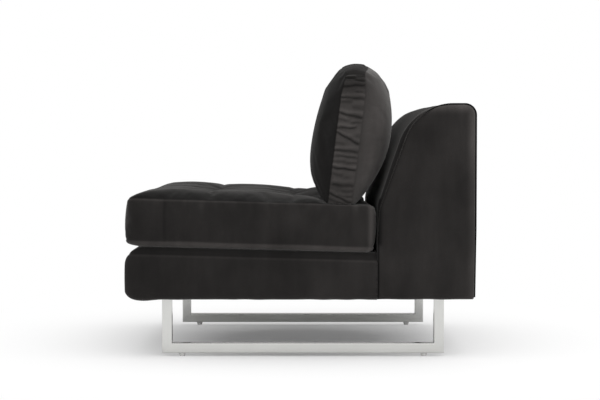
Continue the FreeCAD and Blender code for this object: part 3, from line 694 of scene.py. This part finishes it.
def inflate(piece, held, pressure, frames, cap, slack):
    group = piece.vertex_groups.new(name="held")
    for vertex in piece.data.vertices:
        weight = held(vertex)
        if weight > 0:
            group.add([vertex.index], weight, "REPLACE")
    before = [vertex.co.copy() for vertex in piece.data.vertices]
    modifier = piece.modifiers.new("cloth", "CLOTH")
    cloth = modifier.settings
    cloth.quality = fabric["quality"]
    cloth.mass = fabric["mass"]
    cloth.tension_stiffness = fabric["stretch"]
    cloth.compression_stiffness = fabric["stretch"]
    cloth.shear_stiffness = fabric["shear"]
    cloth.bending_stiffness = fabric["bend"]
    cloth.use_pressure = True
    cloth.uniform_pressure_force = pressure
    cloth.shrink_min = -slack
    cloth.vertex_group_mass = "held"
    cloth.pin_stiffness = 1.0
    cloth.effector_weights.gravity = 0
    modifier.collision_settings.use_collision = False
    modifier.point_cache.frame_start = 1
    modifier.point_cache.frame_end = frames
    for step in range(1, frames + 1):
        scene.frame_set(step)
    graph = bpy.context.evaluated_depsgraph_get()
    after = [vertex.co.copy() for vertex in piece.evaluated_get(graph).data.vertices]
    piece.modifiers.remove(modifier)
    scene.frame_set(1)
    most = 0.0
    for vertex, start, end in zip(piece.data.vertices, before, after):
        step = end - start
        most = max(most, step.length)
        if step.length > cap:
            step = step.normalized() * cap
        vertex.co = start + step
    piece.data.update()
    piece.vertex_groups.remove(group)
    print(piece.name, "swelled", round(most, 4))


# Seat cushion: tufted top, boxing and bottom panel
seat = {
    "half": 0.397,
    "front": -0.4345,
    "rear": 0.184,
    "foot": 0.2815,
    "border": 0.118,
    "bottomSeam": 0.0145,
    "corner": 0.022,
    "across": 4,
    "deep": 3,
    "valley": 0.006,
    "crest": 0.016,
    "tuft": 0.013,
    "tuftReach": 0.026,
    "join": -0.338,
    "draw": 0.003,
    "tuckUnder": 0.013,
    "puff": 0.55,
}
seatCushion = addBox(
    "seatCushionCover",
    (-seat["half"], seat["front"], seat["foot"]),
    (seat["half"], seat["rear"], seat["foot"] + seat["border"]),
    (96, 76),
    26,
)
seatMiddle = (seat["front"] + seat["rear"]) / 2
seatHalfDepth = (seat["rear"] - seat["front"]) / 2
tuftPlaces = []
for column in range(1, seat["across"]):
    for line in range(1, seat["deep"]):
        tuftX = -seat["half"] + 2 * seat["half"] * column / seat["across"]
        tuftY = seat["front"] + (seat["rear"] - seat["front"]) * line / seat["deep"]
        tuftPlaces.append((tuftX, tuftY))


def roundPlan(x, y, middle, halfX, halfY, radius):
    dx = abs(x) - (halfX - radius)
    dy = abs(y - middle) - (halfY - radius)
    if dx > 0 and dy > 0:
        scale = max(dx, dy) / math.hypot(dx, dy)
        x = math.copysign(halfX - radius + dx * scale, x)
        y = middle + math.copysign(halfY - radius + dy * scale, y - middle)
    return x, y


def seatCrown(x, y):
    u = (x + seat["half"]) / (2 * seat["half"]) * seat["across"]
    v = (y - seat["front"]) / (seat["rear"] - seat["front"]) * seat["deep"]
    puffX = abs(math.sin(math.pi * u)) ** seat["puff"]
    puffY = abs(math.sin(math.pi * v)) ** seat["puff"]
    frontEdge = (y - seat["front"]) / 1.7
    edge = min(seat["half"] - abs(x), (seat["rear"] - y) / 1.4, frontEdge)
    lift = 1 - (1 - min(1.0, max(0.0, edge) / 0.042)) ** 2.6
    nearX = smooth(0.10, 0.02, min(seat["half"] - abs(x), 0.2))
    nearY = smooth(0.10, 0.02, min(seatHalfDepth - abs(y - seatMiddle), 0.2))
    puffX = puffX + (1 - puffX) * nearX
    puffY = puffY + (1 - puffY) * max(nearY, 0.6 * nearX)
    height = seat["valley"] + (seat["crest"] - seat["valley"]) * puffX * puffY
    height += 0.0015 * roll(4.0, (x, y, 0.0), 11.0)
    for tuftX, tuftY in tuftPlaces:
        away = math.hypot(x - tuftX, y - tuftY)
        height -= seat["tuft"] * math.exp(-(away / seat["tuftReach"]) ** 2)
    pressed = smooth(0.02, 0.09, y) * (0.75 + 0.25 * smooth(0.28, 0.36, abs(x)))
    return height * lift * (1 - pressed) * (1.08 - 0.42 * smooth(-0.24, -0.05, y))


def seatShape(point):
    x, y, z = point
    share = (z - seat["foot"]) / seat["border"]
    top = share > 0.9999
    edge = min(seat["half"] - abs(x), seatHalfDepth - abs(y - seatMiddle))
    onSide = edge < 1e-5
    drawX = seat["draw"] * (1 - ((y - seatMiddle) / seatHalfDepth) ** 2)
    drawY = seat["draw"] * (1 - (x / seat["half"]) ** 2)
    rise = seatCrown(x, y) if top else 0.0
    rise -= 0.005 * share * smooth(0.166, 0.184, y)
    height = z - seat["foot"]
    inward = 0.0
    if height < seat["bottomSeam"]:
        deep = seat["tuckUnder"] + seat["tuckUnder"] * smooth(-0.40, -0.43, y)
        inward = deep * (1 - math.sqrt(max(0.0, 1 - (1 - height / seat["bottomSeam"]) ** 2)))
    wave = 0.0012 * roll(21.0, (x, y, z), 12.0) + 0.0009 * roll(31.0, (x, y, z * 0.25), 34.0)
    bulge = 0.0
    if onSide and height >= seat["bottomSeam"]:
        t = (height - seat["bottomSeam"]) / (seat["border"] - seat["bottomSeam"])
        bulge = (0.001 + wave) * max(0.0, math.sin(math.pi * t)) ** 0.7
        bulge -= 0.0018 * math.exp(-((height - seat["bottomSeam"] - 0.003) / 0.003) ** 2)
    x, y = roundPlan(x, y, seatMiddle, seat["half"], seatHalfDepth, seat["corner"])
    shareX = abs(x) / seat["half"]
    shareY = (y - seatMiddle) / seatHalfDepth
    if top:
        bulge = -0.0025 * smooth(0.004, 0.0, edge)
        bulge += 0.003 * smooth(0.022, 0.006, edge) * smooth(0.0, 0.006, edge)
    outX = bulge - inward - drawX
    outY = bulge - inward - drawY + 0.003 * smooth(0.075, 0.03, height) * smooth(-0.40, -0.42, y)
    x += math.copysign(1, x) * outX * shareX ** 6
    y += math.copysign(1, shareY) * outY * abs(shareY) ** 6
    return Vector((x, y, z + rise))


def seatHeld(vertex):
    point = vertex.co
    height = point.z - seat["foot"]
    edge = min(seat["half"] - abs(point.x), seatHalfDepth - abs(point.y - seatMiddle))
    if height < seat["bottomSeam"] + 0.004:
        return 1.0
    if abs(height - seat["border"]) < 0.004 and edge < 0.006:
        return 1.0
    if height > seat["border"] - 0.012 and point.y > 0.06 and abs(point.x) > 0.33:
        return 1.0
    for tuftX, tuftY in tuftPlaces:
        if math.hypot(point.x - tuftX, point.y - tuftY) < 0.008 and height > seat["border"] - 0.03:
            return 1.0
    return 0.0


def seatPaintedLight(piece):
    # The bottom panel is painted paler, as are the rear end, the top seam and the puckers under it: painted
    # highlights
    # The top panel is darker along its seam: painted shade; all of it painted paler towards the rear
    piece.data.attributes.new("napAndPaintedLight", "FLOAT", "POINT")
    layer = piece.data.attributes["napAndPaintedLight"].data
    past = piece.data.attributes["pastSeam"].data
    for vertex in piece.data.vertices:
        point = vertex.co
        seam = past[vertex.index].value
        low = seat["border"] - seat["bottomSeam"] + seam + 0.002 * roll(14.0, point, 9.0)
        shade = 1.0 + 1.25 * smooth(0.002, -0.002, low) + 0.7 * smooth(0.0, -0.010, low)
        shade += 2.0 * smooth(0.164, 0.180, point.y)
        if seam < 0:
            # Painted highlights on the puckers just below the top seam
            puckerHighlight = max(0.0, roll(9.0, (point.x, point.y, 0.0), 55.0))
            join = math.exp(-((point.y - seat["join"]) / 0.003) ** 2) * smooth(0.38, 0.39, abs(point.x))
            shade += 0.9 * puckerHighlight * math.exp(seam / 0.016)
            shade -= 0.3 * join
        shade += 0.9 * math.exp(-(seam / 0.0022) ** 2)
        onTop = smooth(0.001, 0.005, seam)
        shade -= 0.3 * onTop + 0.4 * onTop * smooth(0.050, 0.020, seam)
        layer[vertex.index].value = shade * rearLight(point.y)


seatCushion.data.attributes.new("pastSeam", "FLOAT", "POINT")
for vertex in seatCushion.data.vertices:
    above = vertex.co.z - seat["foot"] - seat["border"]
    edge = min(seat["half"] - abs(vertex.co.x), seatHalfDepth - abs(vertex.co.y - seatMiddle))
    seatCushion.data.attributes["pastSeam"].data[vertex.index].value = edge if above > -1e-4 else above
moveVertices(seatCushion, seatShape)
inflate(seatCushion, seatHeld, pressure=4.0, frames=20, cap=0.022, slack=0.012)
subdivided(seatCushion, 1)


def puckerSeam(piece):
    # Small puckers where the stitches draw in the top seam, and the join of the boxing near the front
    piece.data.update()
    normals = [vertex.normal.copy() for vertex in piece.data.vertices]
    past = piece.data.attributes["pastSeam"].data
    for vertex in piece.data.vertices:
        seam = past[vertex.index].value
        near = math.exp(-(seam / 0.012) ** 2) * smooth(0.0, 0.003, abs(seam))
        move = 0.0011 * near * roll(17.0, vertex.co, 75.0)
        if seam < 0 and abs(vertex.co.x) > 0.38:
            move -= 0.0010 * math.exp(-((vertex.co.y - seat["join"]) / 0.003) ** 2)
        vertex.co += normals[vertex.index] * move
    piece.data.update()


puckerSeam(seatCushion)
moveVertices(seatCushion, pitched)
seatPaintedLight(seatCushion)
pastOf = seatCushion.data.attributes["pastSeam"].data


# Painted shade: the top panel takes the mid-sheen velvet
def topPanel(polygon):
    return all(pastOf[index].value > -1e-4 for index in polygon.vertices)


seatReplaces = [
    "seat_cushion_top",
    "seat_cushion_boxing",
    "seat_cushion_bottom",
    "seat_cushion_foam",
    "seat_cushion_ties",
]
finishPiece(
    seatCushion,
    "seat_cushion",
    seatReplaces,
    velvetTopPaintedShade,
    topPanel,
)
seatSurface = BVHTree.FromPolygons(
    [vertex.co for vertex in seatCushion.data.vertices],
    [polygon.vertices for polygon in seatCushion.data.polygons],
)
print("seat cushion ready")


# Back cushion: two crowned panels and a gathered boxing, leaning on the back
pillow = {
    "half": 0.390,
    "band": 0.030,
    "height": 0.328,
    "topCrown": 0.028,
    "lean": math.radians(7),
    "foot": (0.098, 0.389),
    "frontCrown": 0.0500,
    "rearCrown": 0.0795,
    "frontDome": (0.37, 0.42, 0.55),
    "rearDome": (0.53, 0.72, 0.44),
    "corner": 0.030,
    "footCorner": 0.008,
    "droop": 0.022,
    "drawIn": 0.004,
    "widen": 0.12,
    "gap": 0.0015,
    "backGap": 0.004,
    "blockGap": 0.006,
}
backCushion = addBox(
    "backCushionCover",
    (-pillow["half"], 0.0, -pillow["band"]),
    (pillow["half"], pillow["height"], pillow["band"]),
    (96, 84),
    13,
)


def domeAcross(u):
    inset = (1 - abs(u)) * pillow["half"]
    return (1 - (1 - min(1.0, inset / 0.20)) ** 3.2) ** 0.8


def domeUp(w, peak, low, high):
    if w < peak:
        return max(0.0, math.sin(math.pi / 2 * w / peak)) ** low
    return max(0.0, math.cos(math.pi / 2 * (w - peak) / (1 - peak))) ** high


def seatTopAt(x, y):
    hit = seatSurface.ray_cast(Vector((x, y, 0.6)), Vector((0, 0, -1)))[0]
    return hit.z if hit else 0.0


def pillowPlaced(x, y, z):
    c = math.cos(pillow["lean"])
    s = math.sin(pillow["lean"])
    return Vector((x, pillow["foot"][0] + y * c + z * s, pillow["foot"][1] - y * s + z * c))


def keepClear(point):
    x, y, z = point
    if z > backBlock["bend"]:
        limit = -(pillow["gap"] + pillow["backGap"])
        if slopeDistance(y, z) > limit:
            push = slopeDistance(y, z) - limit
            y -= push / math.cos(lean)
    elif y > backBlock["front"] - pillow["blockGap"]:
        y = backBlock["front"] - pillow["blockGap"]
    if abs(x) < seat["half"] and y < seat["rear"]:
        z = max(z, seatTopAt(x, y) + pillow["gap"])
    return Vector((x, y, z))


def pillowShape(point):
    x = point.x
    z = point.y
    y = point.z
    u = x / pillow["half"]
    w = z / pillow["height"]
    t = y / pillow["band"]
    drawIn = pillow["drawIn"] * 4 * w * (1 - w)
    crown = ((pillow["topCrown"] + 0.006 * t) * (1 - u * u) + 0.002 * t) * w
    if t < -0.9999:
        y -= pillow["frontCrown"] * domeAcross(u) * domeUp(w, *pillow["frontDome"])
    elif t > 0.9999:
        y += pillow["rearCrown"] * domeAcross(u) * domeUp(w, *pillow["rearDome"])
    widen = pillow["widen"] * (1 - u * u) * smooth(0.75, 1.0, w)
    pinch = 0.2 * smooth(0.8, 1.0, w) * smooth(0.7, 1.0, abs(u))
    y *= 1 + (widen - pinch)
    middle = pillow["height"] / 2
    corner = pillow["corner"] if w > 0.5 else pillow["footCorner"]
    x, z = roundPlan(x, z, middle, pillow["half"], middle, corner)
    z -= pillow["droop"] * smooth(0.72, 1.0, abs(u)) * (1 - w) ** 2
    x -= math.copysign(drawIn, x) * abs(u) ** 3
    placed = pillowPlaced(x, y, z + crown)
    return keepClear(placed)


pillowAxes = (("alongX", 0, pillow["half"]), ("upZ", 1, pillow["height"]), ("acrossBand", 2, pillow["band"]))
for name, axis, size in pillowAxes:
    layer = backCushion.data.attributes.new(name, "FLOAT", "POINT")
    for vertex in backCushion.data.vertices:
        layer.data[vertex.index].value = vertex.co[axis] / size
moveVertices(backCushion, pillowShape)
startEdit(backCushion)
bpy.ops.mesh.select_all(action="SELECT")
bpy.ops.mesh.normals_make_consistent(inside=False)
endEdit()


def pillowHeld(vertex):
    along = backCushion.data.attributes["alongX"].data[vertex.index].value
    up = backCushion.data.attributes["upZ"].data[vertex.index].value
    across = backCushion.data.attributes["acrossBand"].data[vertex.index].value
    seam = min(1 - abs(along), up, 1 - up)
    return 1.0 if abs(across) < 0.999 or seam < 0.005 else 0.0


inflate(backCushion, pillowHeld, pressure=2.0, frames=16, cap=0.005, slack=0.008)
moveVertices(backCushion, keepClear)
subdivided(backCushion, 1)


# Gathers of the boxing: height at the front seam, height at the rear seam,
# depth, first and last share of the band
nearGathers = [
    (0.960, 0.945, 0.8, 0.0, 0.5),
    (0.925, 0.940, 0.6, 0.5, 1.0),
    (0.888, 0.907, 1.0, 0.0, 1.0),
    (0.809, 0.802, 1.0, 0.0, 1.0),
    (0.773, 0.780, 0.6, 0.0, 0.45),
    (0.694, 0.665, 1.1, 0.0, 1.0),
    (0.579, 0.597, 0.9, 0.0, 0.75),
    (0.548, 0.478, 1.1, 0.0, 1.0),
    (0.421, 0.421, 0.9, 0.0, 1.0),
    (0.381, 0.378, 0.7, 0.0, 1.0),
    (0.302, 0.291, 1.2, 0.0, 1.0),
    (0.183, 0.183, 1.0, 0.1, 1.0),
    (0.120, 0.066, 1.0, 0.0, 1.0),
    (0.112, 0.108, 0.6, 0.4, 1.0),
    (0.845, 0.850, 0.5, 0.6, 1.0),
    (0.735, 0.735, 0.5, 0.55, 1.0),
    (0.640, 0.632, 0.5, 0.0, 0.4),
    (0.615, 0.630, 0.5, 0.6, 1.0),
    (0.510, 0.530, 0.5, 0.6, 1.0),
    (0.470, 0.450, 0.4, 0.0, 0.4),
    (0.345, 0.335, 0.5, 0.0, 0.5),
    (0.330, 0.340, 0.5, 0.6, 1.0),
    (0.255, 0.245, 0.5, 0.0, 0.45),
    (0.235, 0.230, 0.5, 0.55, 1.0),
    (0.150, 0.140, 0.5, 0.5, 1.0),
    (0.075, 0.040, 0.6, 0.0, 0.6),
]
gatherSize = {"depth": 0.0046, "half": 0.0029, "ridge": 0.65}
random.seed(7)


def scatteredGathers(length):
    gathers = []
    place = 0.015
    while place < length - 0.012:
        slant = random.uniform(-0.012, 0.012)
        first = random.choice([0.0, 0.0, 0.0, 0.3])
        last = random.choice([1.0, 1.0, 1.0, 0.65])
        gathers.append((place, place + slant, random.uniform(0.35, 0.65), first, last))
        place += random.uniform(0.016, 0.034)
    return gathers


tall = pillow["height"]
gathers = {
    "near": [(front * tall, rear * tall, *rest) for front, rear, *rest in nearGathers],
    "far": scatteredGathers(tall),
    "top": scatteredGathers(2 * pillow["half"]),
    "bottom": scatteredGathers(2 * pillow["half"]),
}


def gatherDepth(run, share, place):
    total = 0.0
    for front, rear, depth, first, last in gathers[run]:
        waver = 0.0008 * math.sin(5.0 * share + 40.0 * front) + 0.0006 * math.sin(11.0 * share + 90.0 * rear)
        s = place - (front + (rear - front) * share) - waver
        half = gatherSize["half"] * (0.75 + 0.6 * abs(math.sin(70.0 * front) - share))
        if abs(s) > 8 * half:
            continue
        fade = smooth(first - 0.12, first + 0.06, share) * smooth(last + 0.12, last - 0.06, share)
        groove = -math.exp(-(s / half) ** 2)
        ridge = gatherSize["ridge"] * math.exp(-((s - 2.0 * half) / (1.6 * half)) ** 2)
        total += depth * fade * (groove + ridge)
    pucker = smooth(0.30, 0.05, share) + smooth(0.70, 0.95, share)
    ripple = noise.noise(Vector((place * 150.0, share * 2.0, len(run))))
    return (total + 0.35 * pucker * ripple) * gatherSize["depth"]


pillowNapAndPaintedLight = {"front": 0.44, "rear": 3.5, "band": 2.7}


def gatherBoxing(piece):
    # Draws the gathers into the boxing, and paints light and shade on all three panels: painted shade on the
    # front panel and in the gather grooves, painted light on the rear panel and the ridges
    mesh = piece.data
    mesh.update()
    normals = [vertex.normal.copy() for vertex in mesh.vertices]
    mesh.attributes.new("napAndPaintedLight", "FLOAT", "POINT")
    shade = mesh.attributes["napAndPaintedLight"].data
    along = mesh.attributes["alongX"].data
    up = mesh.attributes["upZ"].data
    across = mesh.attributes["acrossBand"].data
    for vertex in mesh.vertices:
        t = across[vertex.index].value
        u = along[vertex.index].value
        w = up[vertex.index].value
        if abs(t) > 0.999:
            reach = math.sqrt(max(0.0, 1 - u * u))
            # Painted light across the rear panel, strongest at its middle and lower part
            rearPaintedLight = pillowNapAndPaintedLight["rear"] * (0.62 + 0.95 * reach) * (1 - 0.30 * smooth(0.70, 0.95, w))
            rearPaintedLight *= 1 + 0.6 * smooth(0.60, 0.20, w) * reach
            shade[vertex.index].value = pillowNapAndPaintedLight["front"] if t < 0 else rearPaintedLight
            continue
        share = (t + 1) / 2
        seam = smooth(0.0, 0.10, share) * smooth(1.0, 0.90, share)
        if abs(u) > 0.999:
            move = gatherDepth("near" if u > 0 else "far", share, w * pillow["height"])
        else:
            move = gatherDepth("top" if w > 0.5 else "bottom", share, (u + 1) * pillow["half"])
        # Painted shade on the top and bottom of the boxing and in the gather grooves, painted highlights on
        # the ridges
        bandNapAndPaintedLight = pillowNapAndPaintedLight["band"] - 1.95 * smooth(0.76, 1.0, w) - 0.6 * smooth(0.38, 0.15, w)
        shade[vertex.index].value = bandNapAndPaintedLight * max(0.45, 1 + 0.55 * move / gatherSize["depth"])
        swell = 0.0022 if abs(u) > 0.999 else 0.007 * smooth(1.0, 0.85, abs(u))
        puff = swell * math.sin(math.pi * share)
        move = (move + puff) * (0.25 + 0.75 * seam) - 0.0016 * (1 - seam)
        vertex.co += normals[vertex.index] * move
    mesh.update()


gatherBoxing(backCushion)
bandOf = backCushion.data.attributes["acrossBand"].data
upOf = backCushion.data.attributes["upZ"].data


# Painted shade: the front panel and the top of the boxing take the weak-sheen velvet
def paintedShadeFaces(polygon):
    front = all(bandOf[index].value < -0.98 for index in polygon.vertices)
    return front or all(upOf[index].value > 0.999 for index in polygon.vertices)


finishPiece(
    backCushion,
    "back_cushion",
    ["back_cushion_front", "back_cushion_rear", "back_cushion_boxing", "back_cushion_filling"],
    velvetPaintedShade,
    paintedShadeFaces,
)
print("back cushion ready")


# Dust cover: black cloth stretched under the seat frame, cut round the two sled plates
def boxOf(name):
    corners = [nodes[name].matrix_world @ Vector(corner) for corner in nodes[name].bound_box]
    low = [min(corner[axis] for corner in corners) for axis in range(3)]
    high = [max(corner[axis] for corner in corners) for axis in range(3)]
    return low, high


dustCover = {"cell": 0.008, "sag": 0.003, "thick": 0.001, "air": 0.002, "below": 0.0006}
dustLow, dustHigh = boxOf("dust_cover")
dustWide = dustHigh[0] - dustLow[0]
dustLong = dustHigh[1] - dustLow[1]
plates = [boxOf("sled_left_top_plate"), boxOf("sled_right_top_plate")]
bpy.ops.object.select_all(action="DESELECT")
bpy.ops.mesh.primitive_grid_add(
    x_subdivisions=round(dustWide / dustCover["cell"]),
    y_subdivisions=round(dustLong / dustCover["cell"]),
    size=1,
    location=(
        (dustLow[0] + dustHigh[0]) / 2,
        (dustLow[1] + dustHigh[1]) / 2,
        dustHigh[2] - dustCover["below"],
    ),
)
cloth = bpy.context.object
cloth.name = "dustCoverSheet"
cloth.scale = (dustWide, dustLong, 1)
bpy.ops.object.transform_apply(location=True, rotation=True, scale=True)


def plateEdges(value, axis):
    # Draws the nearest grid line onto the edge of a window
    air = dustCover["air"]
    for low, high in plates:
        for edge in (low[axis] - air, high[axis] + air):
            if abs(value - edge) <= dustCover["cell"] * 0.52:
                return edge
    return value


def inWindow(x, y):
    return any(low[0] < x < high[0] and low[1] < y < high[1] for low, high in plates)


def dustShape(point):
    x = plateEdges(point.x, 0)
    y = plateEdges(point.y, 1)
    across = max(0.0, 1 - (x / dustWide * 2) ** 2)
    along = max(0.0, 1 - ((y - dustLow[1]) / dustLong * 2 - 1) ** 2)
    ripple = 0.3 * roll(6.0, (x, y, 0.0), 14.0)
    return Vector((x, y, point.z - dustCover["sag"] * across * along * (1 + ripple)))


moveVertices(cloth, dustShape)
startEdit(cloth)
mesh = bmesh.from_edit_mesh(cloth.data)
bpy.ops.mesh.select_all(action="DESELECT")
for face in mesh.faces:
    middle = face.calc_center_median()
    face.select = inWindow(middle.x, middle.y)
bmesh.update_edit_mesh(cloth.data)
bpy.ops.mesh.delete(type="FACE")
endEdit()
solid = cloth.modifiers.new("thick", "SOLIDIFY")
solid.thickness = dustCover["thick"]
solid.offset = 0
bpy.ops.object.modifier_apply(modifier=solid.name)
cloth.data.materials.append(dustCloth)
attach(cloth, "frame")
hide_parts("dust_cover")


# Floor and light
stage = {"size": 40, "albedo": 0.95, "fadeStart": 0.2, "fadeEnd": 1.15, "fadeLeast": 0.09}
bpy.ops.object.select_all(action="DESELECT")
bpy.ops.mesh.primitive_plane_add(size=stage["size"], location=(0, 0, 0))
floor = bpy.context.object
floor.name = "floor"
material, tree = newMaterial("floorWhite")
coords = tree.nodes.new("ShaderNodeTexCoord").outputs["Object"]
lengthNode = addNode(tree, "ShaderNodeVectorMath", operation="LENGTH")
tree.links.new(coords, lengthNode.inputs[0])
distance = lengthNode.outputs["Value"]
# Camera rays see the floor partly as plain white: 9 % near the middle, all of it from 1.15 m out. Far out
# this is the white backdrop; near the sofa it is painted light that lifts the floor's shadow
far = spread(tree, distance, stage["fadeStart"], stage["fadeEnd"], stage["fadeLeast"], 1.0)
camRay = tree.nodes.new("ShaderNodeLightPath").outputs["Is Camera Ray"]
diffuse = tree.nodes.new("ShaderNodeBsdfDiffuse")
diffuse.inputs["Color"].default_value = (stage["albedo"],) * 3 + (1,)
white = tree.nodes.new("ShaderNodeEmission")
white.inputs["Color"].default_value = (1, 1, 1, 1)
white.inputs["Strength"].default_value = 1.0
mixer = tree.nodes.new("ShaderNodeMixShader")
tree.links.new(times(tree, far, camRay), mixer.inputs[0])
tree.links.new(diffuse.outputs[0], mixer.inputs[1])
tree.links.new(white.outputs[0], mixer.inputs[2])
finishMaterial(tree, mixer)
floor.data.materials.append(material)

# Levels of the surrounding light: rear against front, overhead against horizon, near against far
studio = {"side": (0.90, 1.15), "up": (1.25, 0.80), "near": (0.55, 1.15)}
world = bpy.data.worlds.new("studio")
scene.world = world
world.use_nodes = True
tree = world.node_tree
tree.nodes.clear()
direction = tree.nodes.new("ShaderNodeTexCoord").outputs["Generated"]
split = addNode(tree, "ShaderNodeSeparateXYZ", {"Vector": direction})
side = spread(tree, split.outputs["Y"], -1.0, 1.0, *studio["side"])
near = spread(tree, split.outputs["X"], -1.0, 1.0, *studio["near"])
up = spread(tree, split.outputs["Z"], 0.0, 1.0, *studio["up"])
ambient = addNode(tree, "ShaderNodeBackground")
ambient.inputs["Color"].default_value = (1, 1, 1, 1)
tree.links.new(times(tree, times(tree, side, up), near), ambient.inputs["Strength"])
plainWhite = addNode(tree, "ShaderNodeBackground")
plainWhite.inputs["Color"].default_value = (1, 1, 1, 1)
plainWhite.inputs["Strength"].default_value = 1.0
camRay = tree.nodes.new("ShaderNodeLightPath").outputs["Is Camera Ray"]
mixer = tree.nodes.new("ShaderNodeMixShader")
tree.links.new(camRay, mixer.inputs[0])
tree.links.new(ambient.outputs[0], mixer.inputs[1])
tree.links.new(plainWhite.outputs[0], mixer.inputs[2])
out = tree.nodes.new("ShaderNodeOutputWorld")
tree.links.new(mixer.outputs[0], out.inputs["Surface"])


def addLamp(name, place, target, size, power):
    bpy.ops.object.light_add(type="AREA", location=place)
    lamp = bpy.context.object
    lamp.name = name
    lamp.data.shape = "RECTANGLE"
    lamp.data.size = size[0]
    lamp.data.size_y = size[1]
    lamp.data.energy = power
    aim = Vector(target) - Vector(place)
    lamp.rotation_euler = aim.to_track_quat("-Z", "Y").to_euler()
    return lamp


addLamp("topSoftbox", (0.3, 0.4, 3.4), (0, 0, 0.3), (4.5, 4.5), 60)
addLamp("rearSoftbox", (0.8, 3.2, 2.2), (0, 0.1, 0.4), (2.0, 2.0), 6)
print("stage ready")
